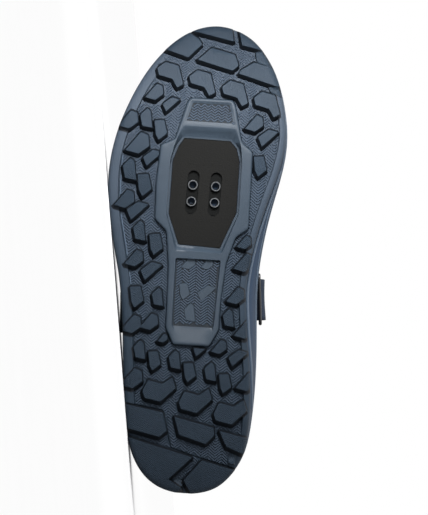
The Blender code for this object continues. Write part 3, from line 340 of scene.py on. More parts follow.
# The sole's own map is in units of 10 mm, so the wave's 0.11 is 1.1 mm: drawn as coarse as it needs to show
# the wall colour is painted shade on the lugs' walls, and the groove colour is painted light on the forefoot's
# groove floors
treadRubber = {
    "lug": "#1a242e", "scuffed": "#222e3a", "groove": "#343d48", "wall": "#07090d", "wavePitch": 0.11,
    "waveWidth": 0.14, "waveSlope": 0.8, "waveFrom": 21.5, "waveFull": 19.0, "grainScale": 24.0,
    "grainStretch": 0.16, "paintedLightFrom": 11.0, "paintedLightFull": 19.0, "paintedLightShare": 0.85, "wallShade": 0.85,
    "relief": 0.0009,
}


def mouldedRubber():
    # moulded rubber, dull and finely grained: the faces look dusty grey-blue and soft, the lugs' walls are
    # painted near black as painted shade, the forefoot's groove floors are painted lighter as painted light,
    # and a fine wave on the rear lugs catches the light in short glints
    size = treadRubber
    material, tree, shader = newMaterial("mouldedRubber", 0.6, 1.52, sockets={"Specular IOR Level": 0.16})
    planMap = addNode(tree, "ShaderNodeUVMap", uv_map="plan").outputs[0]
    parts = addNode(tree, "ShaderNodeSeparateXYZ", {0: planMap})
    marks = {mark: addNode(tree, "ShaderNodeAttribute", attribute_name=mark).outputs["Fac"]
             for mark in ("wall", "face", "groove")}
    # zigzag ribs: the phase runs along the sole and bends back and forth every width
    bend = addNode(tree, "ShaderNodeMath", {0: parts.outputs[0], 1: size["waveWidth"]}, operation="PINGPONG")
    phase = addNode(tree, "ShaderNodeMath", {0: bend.outputs[0], 1: size["waveSlope"], 2: parts.outputs[1]},
                    operation="MULTIPLY_ADD")
    turns = addNode(tree, "ShaderNodeMath", {0: phase.outputs[0], 1: size["wavePitch"] / 2}, operation="DIVIDE")
    zigzag = addNode(tree, "ShaderNodeMath", {0: turns.outputs[0], 1: 1.0}, operation="PINGPONG")
    wave = addNode(tree, "ShaderNodeMapRange", {"Value": zigzag.outputs[0], "From Min": 0.25, "From Max": 0.75},
                   interpolation_type="SMOOTHSTEP")
    rear = addNode(tree, "ShaderNodeMapRange",
                   {"Value": parts.outputs[1], "From Min": size["waveFrom"], "From Max": size["waveFull"]})
    onFace = addNode(tree, "ShaderNodeMath", {0: wave.outputs[0], 1: marks["face"]}, operation="MULTIPLY")
    onRear = addNode(tree, "ShaderNodeMath", {0: onFace.outputs[0], 1: rear.outputs[0]}, operation="MULTIPLY")
    # the grain is drawn out along the sole, as a wire brush leaves it
    brushed = addNode(tree, "ShaderNodeMapping", {"Vector": planMap, "Scale": (1.0, size["grainStretch"], 1.0)})
    grain = addNode(tree, "ShaderNodeTexNoise",
                    {"Vector": brushed.outputs[0], "Scale": size["grainScale"], "Detail": 3.0}).outputs["Fac"]
    fine = addNode(tree, "ShaderNodeMath", {0: grain, 1: 0.3}, operation="MULTIPLY")
    height = addNode(tree, "ShaderNodeMath", {0: onRear.outputs[0], 1: 0.8, 2: fine.outputs[0]},
                     operation="MULTIPLY_ADD")
    bump = addNode(tree, "ShaderNodeBump",
                   {"Height": height.outputs[0], "Strength": 0.7, "Distance": size["relief"]})
    tree.links.new(bump.outputs[0], shader.inputs["Normal"])
    cloud = addNode(tree, "ShaderNodeTexNoise", {"Vector": planMap, "Scale": 0.5, "Detail": 5.0})
    shade = addNode(tree, "ShaderNodeMix",
                    {0: cloud.outputs["Fac"], 6: colour(size["lug"]), 7: colour(size["scuffed"])},
                    data_type="RGBA")
    # the groove floors of the forefoot are painted a little lighter than the lugs: painted light where the
    # light falls from the toe end
    front = addNode(tree, "ShaderNodeMapRange", {"Value": parts.outputs[1], "From Min": size["paintedLightFrom"],
                                                 "From Max": size["paintedLightFull"], "To Max": size["paintedLightShare"]})
    onFloor = addNode(tree, "ShaderNodeMath", {0: front.outputs[0], 1: marks["groove"]}, operation="MULTIPLY")
    forefootPaintedLight = addNode(tree, "ShaderNodeMix",
                      {0: onFloor.outputs[0], 6: shade.outputs[2], 7: colour(size["groove"])}, data_type="RGBA")
    # painted shade: the lugs' walls are mixed towards the near-black wall colour
    paintedShadeOnWall = addNode(tree, "ShaderNodeMath", {0: marks["wall"], 1: size["wallShade"]}, operation="MULTIPLY")
    walls = addNode(tree, "ShaderNodeMix",
                    {0: paintedShadeOnWall.outputs[0], 6: forefootPaintedLight.outputs[2], 7: colour(size["wall"])}, data_type="RGBA")
    tree.links.new(walls.outputs[2], shader.inputs["Base Color"])
    rough = addNode(tree, "ShaderNodeMapRange", {"Value": grain, "To Min": 0.52, "To Max": 0.7})
    tree.links.new(rough.outputs[0], shader.inputs["Roughness"])
    return material


pocketNylon = {"dark": "#212b35", "light": "#29343f", "pad": "#121920", "smooth": 0.54, "ribbed": 0.75}


def mouldedNylon():
    # moulded nylon, satin: broad soft highlights on the rims and ramps, nearly plain, with a faint flow mottle,
    # while the ribbed pads are duller and darker
    size = pocketNylon
    material, tree, shader = newMaterial("mouldedNylon", 0.55, 1.53, sockets={"Specular IOR Level": 0.25})
    planMap = addNode(tree, "ShaderNodeUVMap", uv_map="plan").outputs[0]
    mottle = addNode(tree, "ShaderNodeTexNoise", {"Vector": planMap, "Scale": 0.7, "Detail": 5.0})
    grain = addNode(tree, "ShaderNodeTexNoise", {"Vector": planMap, "Scale": 45.0})
    bump = addNode(tree, "ShaderNodeBump",
                   {"Height": grain.outputs["Fac"], "Strength": 0.5, "Distance": 0.0001})
    tree.links.new(bump.outputs[0], shader.inputs["Normal"])
    shade = addNode(tree, "ShaderNodeMix",
                    {0: mottle.outputs["Fac"], 6: colour(size["dark"]), 7: colour(size["light"])},
                    data_type="RGBA")
    pads = addNode(tree, "ShaderNodeAttribute", attribute_name="ribbed").outputs["Fac"]
    dull = addNode(tree, "ShaderNodeMix", {0: pads, 6: shade.outputs[2], 7: colour(size["pad"])},
                   data_type="RGBA")
    tree.links.new(dull.outputs[2], shader.inputs["Base Color"])
    rough = addNode(tree, "ShaderNodeMapRange",
                    {"Value": pads, "To Min": size["smooth"], "To Max": size["ribbed"]})
    tree.links.new(rough.outputs[0], shader.inputs["Roughness"])
    return material


# Tread lugs, each an outline round its own middle: across to the inner side, then along to the toe
lugShapes = {
    "hook": ((-4, 7.5), (4.3, 5.5), (7.8, -6.2), (4, -8.5), (0.8, -3.2), (-7.7, -1.2), (-9, 3.2)),
    "vee": ((-7, 5.5), (2, 3.6), (8, 8), (10.5, 1.5), (1.5, -7.5), (-8.5, -5.5), (-10, -1.5)),
    "bladeUp": ((-3.7, 1.5), (0.5, 6), (2.8, 4.2), (4.5, -6.3), (-2, -5.4)),
    "bladeDown": ((-4, 5.6), (2.2, 6.3), (4.6, -2), (-0.6, -6.6), (-2.6, -3.2)),
    "slant": ((-6, 0.2), (0.8, 5.7), (7.3, 4.2), (-3, -6)),
    "wedge": ((-5.5, -3.5), (-1.8, 1.2), (1.5, 5.5), (5.2, 4.2), (6, -1), (1, -5)),
}
lugPlaces = (
    # shape, across, along, size
    ("hook", -25.5, 258, 1.0), ("hook", -5.5, 254, 1.0), ("hook", 15, 248.6, 1.0), ("hook", 35, 242.8, 1.0),
    ("vee", -22, 63.5, 1.0), ("vee", 0.7, 57.8, 1.0), ("vee", 22.5, 52, 1.0),
    ("bladeUp", -39.5, 230, 1.0), ("bladeUp", -48, 198, 1.1), ("bladeUp", -39.8, 160.5, 1.0),
    ("bladeUp", -26.3, 120.5, 0.92), ("bladeUp", -35.5, 87.5, 0.95), ("bladeUp", -13.5, 82.5, 0.95),
    ("bladeUp", 8.7, 76.5, 0.95), ("bladeUp", 18, 110, 0.9),
    ("bladeDown", -30.3, 223, 1.0), ("bladeDown", -38.3, 188.5, 1.1), ("bladeDown", -29.2, 152.5, 1.05),
    ("bladeDown", -39.2, 119.6, 1.05), ("bladeDown", -26, 81, 0.95), ("bladeDown", -4, 75, 0.95),
    ("bladeDown", 18.2, 69.5, 0.95), ("bladeDown", 32, 204, 1.0),
    ("slant", -25, 239, 0.8), ("slant", -34.6, 205.4, 0.9), ("slant", -42, 172.4, 1.0),
    ("slant", -31.5, 135.8, 1.0), ("slant", 25, 85.4, 0.9), ("slant", 35.6, 221.6, 0.95),
    ("wedge", -35.5, 246, 1.0), ("wedge", -44, 213.8, 1.3), ("wedge", -50, 179, 1.1),
    ("wedge", -42, 143, 1.0),
    ("wedge", -30.5, 104.5, 1.0), ("wedge", 27, 230, 1.0), ("wedge", 21.6, 123.4, 1.0),
    ("wedge", -41.5, 102.5, 1.1), ("wedge", -50.5, 228, 1.1), ("wedge", -39.3, 69.2, 1.2),
    ("wedge", 13.2, 91.5, 0.85), ("wedge", 31, 71, 1.1), ("wedge", 28, 103, 1.1), ("wedge", 25.5, 144, 1.1),
    ("wedge", 25, 156.5, 0.8), ("wedge", -21.5, 95, 0.55),
)
edgeLugs = (
    ((-14, 286), (12, 280.5), (10, 292), (-8, 293)),
    ((14.2, 291), (17, 278.5), (32, 275.6), (32, 288)),
    ((-18, 286), (-9.5, 281), (-7.4, 277.7), (-15.6, 268.8), (-31, 273.6), (-31, 284)),
    ((-1.6, 276), (13.2, 272.4), (15.8, 265.6), (12.2, 262), (-10, 267.8)),
    ((25, 268.3), (42, 264), (45, 253.4), (39.5, 253.8), (16, 260.5), (17.2, 263)),
    ((-46, 54), (-18.6, 49.6), (-15.4, 38.4), (-20, 34.4), (-46, 40)),
    ((-11.5, 47.4), (13, 42), (14, 37.4), (8.8, 31.6), (-8, 36.4)),
    ((16.6, 40.2), (40, 35.4), (38, 24.5), (21.4, 30.8)),
    ((-44, 34.4), (1, 23), (-13, 8.6), (-4, 3.2), (-14, -4), (-44, -2)),
    ((7, 21.6), (36, 14.2), (34, -4), (4, -4), (-3.6, 8.4)), ((-2.3, 90.2), (5.2, 89.8), (-0.3, 84.8)),
)
# Small ramps that face the toe: foot and crest
heelFacets = (
    (((-14.2, 7.2), (-9.5, 9.6), (-4.4, 8.2), (-2.6, 4.4), (-9, 3.6)),
     ((-12.6, 5.4), (-9, 4.6), (-4, 5), (-9, 4.1))),
    (((23.4, 27.6), (28, 26.4), (27.4, 19.6), (22.6, 20.8)),
     ((23.6, 21.8), (26.8, 21), (26.8, 20.2), (23.2, 21))),
)
# A narrow slit sets the heel block's base off from the groove floor
heelSlit = {
    "line": ((-45, 54.4), (-41.6, 54.2), (-19.2, 51), (-12.6, 28.2), (4, 23.2), (28, 17.2), (36, 14.9)),
    "halfWidth": 0.5, "depth": 0.9, "wall": 0.25,
}
# Two small flats near the toe, lower than the lugs
lowFacets = (
    ((25.5, 274.5), (29.7, 275.8), (36, 265.5), (27, 268.5)),
    ((34.5, 253.3), (40.8, 253.8), (43.5, 247.5), (36.5, 250)),
)
# A lug's wall is steep towards the toe and slopes out towards the heel
lugEdges = {
    "cornerRadius": 0.8, "draft": 0.35, "heelDraft": 2.2, "toeDraft": 0.75, "chamfer": 0.4, "round": 0.3,
    "lowShare": 0.3, "lowTopShare": 0.36, "lowWall": 0.5, "facetShare": 0.75,
}


def lugFoot(face):
    before, after = face - np.roll(face, 1, 0), np.roll(face, -1, 0) - face
    outward = np.column_stack([(before + after)[:, 1], -(before + after)[:, 0]])
    outward /= np.linalg.norm(outward, axis=1)[:, None]
    lean = np.clip(-outward[:, 1] + 0.25 * outward[:, 0], 0, 1) ** 0.7
    toToe = np.clip(outward[:, 1], 0, 1) ** 0.7
    return inset(face, -(lugEdges["draft"] + lugEdges["heelDraft"] * lean + lugEdges["toeDraft"] * toToe))


def placedLug(shape, across, along, size):
    return drawn([(across + size * a, along + size * b) for a, b in lugShapes[shape]])


def lugLoops():
    loops = [placedLug(*row) for row in lugPlaces]
    return loops + [drawn(points) for points in edgeLugs]


frameOutline = (
    (-12.5, 244), (13, 244), (15, 241.5), (20.5, 218), (27.5, 212.5), (27.5, 165), (20, 159.5), (15, 143),
    (13, 120), (12.8, 102), (7.5, 91.5), (-15, 91.5), (-20, 102), (-20.5, 140), (-23, 161), (-30.5, 168),
    (-31, 190), (-29.5, 214), (-21, 218), (-14.5, 241.5),
)
plateOutline = (
    (-15, 218.8), (13.2, 218.4), (17.2, 214), (19.6, 206), (19.4, 175), (10.4, 152.5), (-15, 153.6),
    (-22, 172), (-21.4, 205), (-18.4, 213.4),
)
pocketCrest = (
    (-16.6, 226.8), (16.8, 226.4), (20.2, 214.6), (21.2, 206), (21, 174), (12, 149), (-16.6, 149.6),
    (-23.6, 171.4), (-23, 205), (-21, 214),
)
frontRamp = ((-12, 242.2), (12.4, 242.2), (16.4, 228), (-16.2, 228.2))
rearRecess = ((-16.4, 145), (11.6, 145), (9.6, 104), (6.6, 93.4), (-14.2, 93.4), (-16.4, 104))
rearFloor = ((-15.8, 144.4), (11, 144.4), (9, 104.4), (8.8, 103.2), (-15.4, 103.2), (-15.8, 104.4))


def treadFeatures():
    height, features = sole["lugHeight"], []
    for loop in lugLoops():
        wall = divided(rounded(loop, lugEdges["cornerRadius"]), 5)
        foot, face = lugFoot(wall), inset(wall, lugEdges["round"])
        features.append(((foot, wall, face), (0, -(height - lugEdges["chamfer"]), -height)))
    for points in lowFacets:
        wall = divided(rounded(drawn(points), lugEdges["cornerRadius"]), 5)
        low = lugEdges["lowWall"]
        levels = (0, -lugEdges["lowShare"] * height, -lugEdges["lowTopShare"] * height)
        features.append(((inset(wall, -low), wall, inset(wall, low)), levels))
    return features


def facetFeatures():
    levels = (0, -lugEdges["facetShare"] * sole["lugHeight"])
    return [((divided(drawn(foot), 3), divided(drawn(crest), 3)), levels) for foot, crest in heelFacets]


def slitFeatures():
    line = np.array(heelSlit["line"], float)
    way = np.gradient(line, axis=0)
    way = np.column_stack([way[:, 1], -way[:, 0]]) / np.linalg.norm(way, axis=1)[:, None]
    half = way * heelSlit["halfWidth"]
    strip = divided(drawn(np.vstack([line + half, (line - half)[::-1]])), 4)
    return [((strip, inset(strip, heelSlit["wall"])), (0, heelSlit["depth"]))]


tread = {"edge": treadEdge(sole["edgePoints"]), "lugs": treadFeatures(), "facets": facetFeatures(),
         "slits": slitFeatures()}
# The raised rail along the edge fades out at the heel and at the toe
railShare = smoothCurve((0, 34, 48, 238, 262, 290), (0, 0, 1, 1, 0, 0))


def grooveLevel(plan):
    return groundAt(plan[:, 1]) + sole["lugHeight"]


def slabTop(plan):
    return grooveLevel(plan) + sole["baseThickness"]


def treadLevel(plan):
    # the underside: lugs, small ramps and the edge rail stand on the groove floor, and the rim is rounded
    fromEdge = distance(plan, tread["edge"])
    railWidth = np.where(plan[:, 0] > 0, sole["outerRail"], sole["innerRail"])
    share = np.clip(railShare(plan[:, 1]), 0, 1)
    rail = np.clip((railWidth - fromEdge) / sole["railWall"], 0, 1) * sole["railHeight"] * share
    raised = np.minimum(np.minimum(layered(plan, tread["lugs"]), layered(plan, tread["facets"])), -rail)
    level = grooveLevel(plan) + raised + layered(plan, tread["slits"])
    near = np.clip(1 - fromEdge / sole["edgeRound"], 0, 1)
    return level + sole["edgeRound"] * (1 - np.sqrt(1 - near**2))


def treadMarks(centres):
    wallMark, faceMark = np.zeros(len(centres)), np.zeros(len(centres))
    for (foot, wall, face), _ in tread["lugs"]:
        near = np.where(nearBox(centres, foot))[0]
        if len(near):
            onLug, onTop = inside(centres[near], foot), inside(centres[near], wall)
            wallMark[near] = np.where(onLug & ~onTop, 1.0, wallMark[near])
            faceMark[near] = np.where(onTop, 1.0, faceMark[near])
    wallMark = np.where(faceMark > 0, 0, wallMark)
    return {"wall": wallMark, "face": faceMark, "groove": 1.0 - np.maximum(wallMark, faceMark)}


def buildOutsole(material):
    edge = tread["edge"]
    opening = divided(inset(drawn(frameOutline), -sole["gap"]), 4)
    width = np.where(edge[:, 0] > 0, sole["outerRail"], sole["innerRail"])
    loops = [part for loops, _ in tread["lugs"] + tread["slits"] + tread["facets"] for part in loops]
    loops += [inset(edge, width), inset(edge, width - sole["railWall"])]
    loops += [inset(edge, sole["edgeRound"] * t) for t in (0.06, 0.2, 0.4, 0.65, 1.0)]
    return slabFromPlan("treadOutsole", edge, [opening], loops, sole["meshStep"], treadLevel, slabTop,
                        material, treadMarks)


# Cleat pocket's frame: its pads are hollows with ribbed floors
pocket = {
    "rampDepth": 0.85, "rampWall": 1.3, "rampCorner": 0.8, "recessDepth": 2.0, "recessCorner": 1.0,
    "corner": 1.5, "chamfer": 1.3, "floorReach": 1.2, "floorStep": 0.1, "reliefLug": 0.55, "reliefWall": 0.35,
    "fadeFrom": 226, "fadeLength": 10, "division": 3, "meshStep": 3.0,
}
reliefLugs = (("bladeUp", -6, 112, 0.95), ("slant", 3.5, 124, 0.9), ("bladeDown", -10, 124.5, 0.85),
              ("wedge", -8.5, 142, 0.8), ("wedge", 3, 142, 0.7))


def frameLoops():
    part = pocket["division"]
    opening = divided(inset(drawn(plateOutline), -sole["gap"]), part)
    ramp = divided(rounded(drawn(frontRamp), pocket["rampCorner"]), part)
    return {
        "outer": divided(rounded(drawn(frameOutline), pocket["corner"]), part), "opening": opening,
        "crest": divided(rounded(drawn(pocketCrest), pocket["corner"]), part),
        "floor": inset(opening, -pocket["floorReach"]),
        "ramp": ramp, "rampFloor": inset(ramp, pocket["rampWall"]),
        "recess": divided(rounded(drawn(rearRecess), pocket["recessCorner"]), part),
        "recessFloor": divided(drawn(rearFloor), part),
    }


cleatLoops = frameLoops()


def reliefFeatures():
    features = []
    for shape, a, b, size in reliefLugs:
        foot = divided(rounded(placedLug(shape, a, b, size), lugEdges["cornerRadius"]), pocket["division"])
        features.append(((foot, inset(foot, pocket["reliefWall"])), (0, -pocket["reliefLug"])))
    return features


def frameLevel(plan):
    # the underside: ramp, recess and low lugs, and a soft slope from the crest down to the plate
    loops = cleatLoops
    level = groundAt(plan[:, 1]) + sole["crestDrop"]
    # the front ramp runs out to nothing at its rear end
    fade = np.clip((plan[:, 1] - pocket["fadeFrom"]) / pocket["fadeLength"], 0, 1)
    level = level + layered(plan, [((loops["ramp"], loops["rampFloor"]), (0, pocket["rampDepth"]))]) * fade
    level = level + layered(plan, [((loops["recess"], loops["recessFloor"]), (0, pocket["recessDepth"]))])
    level = level + layered(plan, reliefFeatures())
    toCrest, toFloor = distance(plan, loops["crest"]), distance(plan, loops["floor"])
    blend = toCrest / np.maximum(toCrest + toFloor, 1e-9)
    blend = np.where(inside(plan, loops["floor"]) | (toFloor < touching), 1.0, blend)
    blend = np.where(inside(plan, loops["crest"]) & (toCrest > touching), blend, 0.0)
    blend = blend * blend * (3 - 2 * blend)
    level = level + blend * (sole["plateLevel"] - pocket["floorStep"] - level)
    near = np.clip(1 - distance(plan, loops["outer"]) / pocket["chamfer"], 0, 1)
    return level + pocket["chamfer"] * (1 - np.sqrt(1 - near**2))


def frameMarks(centres):
    pads = inside(centres, cleatLoops["rampFloor"]) | inside(centres, cleatLoops["recessFloor"])
    return {"ribbed": (pads & (layered(centres, reliefFeatures()) > -0.05)).astype(float)}


def buildFrame(material):
    loops = [part for key, part in cleatLoops.items() if key not in ("outer", "opening")]
    loops += [inset(cleatLoops["outer"], d) for d in (0.25, 0.7, 1.3)]
    loops += [inset(cleatLoops["crest"], 0.6)] + [part for feature, _ in reliefFeatures() for part in feature]
    return slabFromPlan("cleatFrame", cleatLoops["outer"], [cleatLoops["opening"]], loops, pocket["meshStep"],
                        frameLevel, slabTop, material, frameMarks)


# Zigzag ribs of the groove floors, swept as thin rods along short lines
ribs = {"pitch": 1.75, "width": 4.3, "slope": 0.85, "radius": 0.55, "sink": 0.0, "samples": 7}
padRibs = {"pitch": 1.7, "width": 2.15, "slope": 0.8, "radius": 0.52, "sink": 0.05, "samples": 4}
recessRibs = {**padRibs, "width": 4.2, "samples": 7}


def ribLines(size, low, high, level, floor):
    # each column of ribs leans the other way; a rib is cut to the longest stretch that lies on the floor
    lines = []
    columns = math.ceil((high[0] - low[0]) / size["width"])
    rows = math.ceil((high[1] - low[1]) / size["pitch"]) + 3
    steps = np.linspace(0, 1, size["samples"])
    for i in range(columns):
        lean = size["slope"] * size["width"] * (1 if i % 2 else -1)
        x = low[0] + (i + steps) * size["width"]
        for j in range(rows):
            y = low[1] + j * size["pitch"] + lean * (steps - 0.5)
            spots = np.column_stack([x, y])
            free = floor(spots)
            run = best = ()
            for k in range(len(steps)):
                run = run + (k,) if free[k] else ()
                best = max(best, run, key=len)
            if len(best) >= 3:
                ends = spots[[best[0], best[-1]]]
                lines.append(np.column_stack([ends, level(ends) + size["sink"]]) * mm)
    return lines


def grooveIsFree(spots):
    frameNear = inside(spots, cleatLoops["outer"])
    return (np.abs(treadLevel(spots) - grooveLevel(spots)) < 0.05) & ~frameNear & inside(spots, tread["edge"])


def rampIsFree(spots):
    return inside(spots, cleatLoops["rampFloor"])


def recessIsFree(spots):
    onFloor = inside(spots, cleatLoops["recessFloor"]) & (spots[:, 1] > 104)
    return onFloor & (layered(spots, reliefFeatures()) > -0.05)


# Moulded beads that catch the light, with a painted highlight in their lighter skin: on the inner side outside
# the tread, on the outer side inside the rail
innerBead = {"from": 54, "to": 204, "step": 2.0, "away": 0.9, "radius": 0.95}
outerBead = {"radius": 0.5, "points": (
    (-51.5, 212), (-52.6, 205), (-52.9, 190), (-52, 173), (-50, 163), (-47, 150), (-44.5, 136), (-42.5, 125),
    (-41.3, 115))}


def buildInnerBead(foam):
    y = np.arange(innerBead["from"], innerBead["to"], innerBead["step"])
    x = -(innerEdge(shareAt(y)) - treadTuck(shareAt(y))) - innerBead["away"]
    spots = [foam.ray_cast(Vector((a, b, -40)), Vector((0, 0, 1)))[0] for a, b in zip(x, y)]
    found = [k for k, spot in enumerate(spots) if spot is not None]
    curve = np.polyfit(y[found], [spots[k].z for k in found], 4)
    line = np.column_stack([x, y, np.polyval(curve, y)]) * mm
    sweptRods("innerBead", [line], innerBead["radius"], 8, skins["foamBead"])


def buildOuterBead():
    line = softLine([(-a, b) for a, b in outerBead["points"]], 2.0)
    free = layered(line, tread["lugs"]) > -0.2
    rows = np.split(np.arange(len(line)), np.where(np.diff(free.astype(int)))[0] + 1)
    lines = [line[row] for row in rows if free[row[0]] and len(row) > 2]
    lines = [np.column_stack([row, grooveLevel(row) - 0.2]) * mm for row in lines]
    sweptRods("outerBead", lines, outerBead["radius"], 8, skins["foamBead"])


def settled(piece):
    # what the modifiers make becomes the piece's own plain mesh
    mesh = bpy.data.meshes.new_from_object(piece.evaluated_get(bpy.context.evaluated_depsgraph_get()))
    piece.modifiers.clear()
    piece.data = mesh
    mesh.name = piece.name
    mesh.shade_smooth()
    return mesh


def newTree(name, inputs):
    # a modifier's tree with named inputs; the names lead to the sockets' identifiers
    tree = bpy.data.node_groups.new(name, "GeometryNodeTree")
    tree.is_modifier = True
    names = {}
    for label, kind in inputs:
        socket = tree.interface.new_socket(label, in_out="INPUT", socket_type="NodeSocket" + kind)
        names[label] = socket.identifier
    tree.interface.new_socket("Made", in_out="OUTPUT", socket_type="NodeSocketGeometry")
    return tree, addNode(tree, "NodeGroupInput").outputs, names


def endTree(tree, geometry, material):
    real = addNode(tree, "GeometryNodeRealizeInstances", {"Geometry": geometry})
    finish = addNode(tree, "GeometryNodeSetMaterial", {"Geometry": real.outputs[0], "Material": material})
    addNode(tree, "NodeGroupOutput", {0: finish.outputs[0]})


def grown(name, mesh, madeTree, inputs):
    # a piece that a tree grows from the points or lines of a mesh
    piece = linked(name, mesh)
    modifier = piece.modifiers.new("grow", "NODES")
    modifier.node_group, names = madeTree
    for label, value in inputs.items():
        modifier[names[label]] = value
    settled(piece)
    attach(piece, "root")
    return piece


def rodTree():
    # lines become rods of a round section with closed ends
    inputs = (("Lines", "Geometry"), ("Radius", "Float"), ("Sides", "Int"), ("Material", "Material"))
    tree, source, names = newTree("sweptRods", inputs)
    curve = addNode(tree, "GeometryNodeMeshToCurve", {"Mesh": source["Lines"]})
    profile = addNode(tree, "GeometryNodeCurvePrimitiveCircle",
                      {"Resolution": source["Sides"], "Radius": source["Radius"]})
    rods = addNode(tree, "GeometryNodeCurveToMesh",
                   {"Curve": curve.outputs[0], "Profile Curve": profile.outputs[0], "Fill Caps": True})
    endTree(tree, rods.outputs[0], source["Material"])
    return tree, names


def sweptRods(name, lines, radius, sides, material):
    # lines are in the shoe's own frame, in metres
    mesh = bpy.data.meshes.new(name)
    edges, first = [], 0
    for line in lines:
        edges += [(first + k, first + k + 1) for k in range(len(line) - 1)]
        first += len(line)
    mesh.from_pydata([tuple(map(float, p)) for p in np.vstack(lines)], edges, [])
    mesh.transform(toWorld)
    return grown(name, mesh, trees["rods"], {"Radius": radius * mm, "Sides": sides, "Material": material})


# How a copy of a CAD solid is smoothed: angles are degrees
cadFinish = {"merge": 2e-6, "pairAngle": 40, "pairShape": 60, "creaseAngle": 50, "crease": 0.75,
             "smoothAngle": 45}


def cadCopy(node, name, material, levels=1):
    # the frame's mesh is loose triangles, so a copy is merged and its triangles are paired again
    mesh = frame["nodes"][node].data.copy()
    mesh.name = name
    mesh.materials.clear()
    mesh.materials.append(material)
    work = bmesh.new()
    work.from_mesh(mesh)
    bmesh.ops.remove_doubles(work, verts=work.verts, dist=cadFinish["merge"])
    bmesh.ops.join_triangles(work, faces=work.faces, angle_face_threshold=math.radians(cadFinish["pairAngle"]),
                             angle_shape_threshold=math.radians(cadFinish["pairShape"]))
    creases = work.edges.layers.float.new("crease_edge")
    for edge in work.edges:
        if len(edge.link_faces) == 2 and edge.calc_face_angle() > math.radians(cadFinish["creaseAngle"]):
            edge[creases] = cadFinish["crease"]
    work.to_mesh(mesh)
    work.free()
    piece = linked(name, mesh)
    subdivide = piece.modifiers.new("smooth", "SUBSURF")
    subdivide.levels = levels
    subdivide.render_levels = levels
    mesh = settled(piece)
    mesh.set_sharp_from_angle(angle=math.radians(cadFinish["smoothAngle"]))
    mesh.transform(toShoe)
    addPlanMap(piece)
    mesh.transform(toWorld)
    return piece


# Skins with a soft mottle and an even grain. Grain sizes are millimetres, coarser than real ones to show at all
finishes = {
    # name: colour, roughness, grain size, relief, and the shader's other values
    # moulded foam: a closed, even skin with a broad dull sheen that rounds the sole's side
    "mouldedFoam": ("#1d2d40", 0.6, 1.1, 0.25, {"specular": 0.25}),
    # coated synthetic leather: fine pores and a satin light that follows every crease
    "syntheticLeather": ("#2b374a", 0.48, 0.7, 0.35, {}),
    # welded film: smoother and darker than the leather, with tighter highlights along its edge
    "weldedFilm": ("#1b2534", 0.32, 1.4, 0.12, {}),
    # knitted cloth: matt, with a small shadow in every loop
    "knittedCloth": ("#252f40", 0.85, 0.38, 0.5, {}),
    # coated webbing: nearly black, dull, with a fine rib that breaks the light
    "coatedWebbing": ("#15202f", 0.6, 0.55, 0.3, {"specular": 0.25}),
    # moulded acetal: a slick black loop with a small bright highlight
    "mouldedAcetal": ("#0b0c0e", 0.3, 2.0, 0.1, {}),
    # glass-filled nylon: a flat, slightly rough black that shows no reflection
    "glassFilledNylon": ("#0b0b0a", 0.65, 0.83, 0.35, {"specular": 0.12}),
    # blackened steel: so dark in the slots that only its edges are seen
    "blackenedSteel": ("#030404", 0.6, 1.25, 0.1, {"specular": 0.1}),
    # zinc-plated steel: pale, cool and bright round each thread
    "zincPlatedSteel": ("#8f9296", 0.34, 1.25, 0.1, {"ior": 2.5, "metallic": 1.0}),
    # polyester thread: paler than the leather, so that each stitch reads as a short dash
    "polyesterThread": ("#465266", 0.6, 0.25, 0.3, {}),
    # folded leather edge: a dark raised line along each seam
    "foldedEdge": ("#1a2230", 0.45, 0.62, 0.2, {}),
    # foam skin on the beads: a little polished and painted lighter than the foam as a painted highlight, so
    # that a thin light line runs along the sole
    "foamBead": ("#3a4756", 0.4, 1.1, 0.1, {}),
    # punched hole: a black disc without any gloss, painted shade where the opening is
    "punchedHole": ("#030405", 0.95, 1.1, 0.1, {"specular": 0.1}),
    # rubber ribs: matt, and painted a little lighter than the lugs as painted light, like the forefoot's groove
    # floors
    "ribRubber": ("#2d3743", 0.62, 0.67, 0.15, {"specular": 0.16}),
    # painted studio floor: plain pale and without gloss
    "paleFloor": ("#f6f6f6", 1.0, 16.7, 0.02, {"specular": 0.0, "spread": 0.01}),
}
mottleScale = 40.0  # cells per metre, so patches of 25 mm


def grainedSkin(name):
    base, roughness, grainSize, relief, more = finishes[name]
    sockets = {"Specular IOR Level": more["specular"]} if "specular" in more else {}
    material, tree, shader = newMaterial(name, roughness, more.get("ior", 1.5), more.get("metallic", 0.0), base,
                                         sockets)
    coords = addNode(tree, "ShaderNodeTexCoord").outputs["Object"]
    grain = addNode(tree, "ShaderNodeTexNoise", {"Vector": coords, "Scale": 1000 / grainSize, "Detail": 2.0})
    mottle = addNode(tree, "ShaderNodeTexNoise", {"Vector": coords, "Scale": mottleScale, "Detail": 4.0})
    bump = addNode(tree, "ShaderNodeBump",
                   {"Height": grain.outputs["Fac"], "Strength": relief, "Distance": 0.0003})
    tree.links.new(bump.outputs[0], shader.inputs["Normal"])
    spread = more.get("spread", 0.12)
    low, high = (tuple(c * share for c in colour(base)[:3]) + (1,) for share in (1 - spread, 1 + spread))
    shade = addNode(tree, "ShaderNodeMix", {0: mottle.outputs["Fac"], 6: low, 7: high}, data_type="RGBA")
    tree.links.new(shade.outputs[2], shader.inputs["Base Color"])
    return material


# The frame's nodes and what each is dressed as: piece, finish, levels of smoothing
dressed = {
    "midsole": ("foamMidsole", "mouldedFoam", 1), "upper": ("shoeUpper", "syntheticLeather", 2),
    "tongue": ("paddedTongue", "knittedCloth", 2), "throat_cover": ("throatCover", "syntheticLeather", 1),
    "toe_cap": ("toeCap", "weldedFilm", 1), "heel_counter": ("heelCounter", "weldedFilm", 1),
    "instep_strap": ("instepStrap", "coatedWebbing", 1), "strap_loop": ("strapLoop", "mouldedAcetal", 1),
}
keptNodes = {"insole": "knittedCloth", "cleat_plate": "glassFilledNylon", "cleat_nut_plate": "blackenedSteel"}


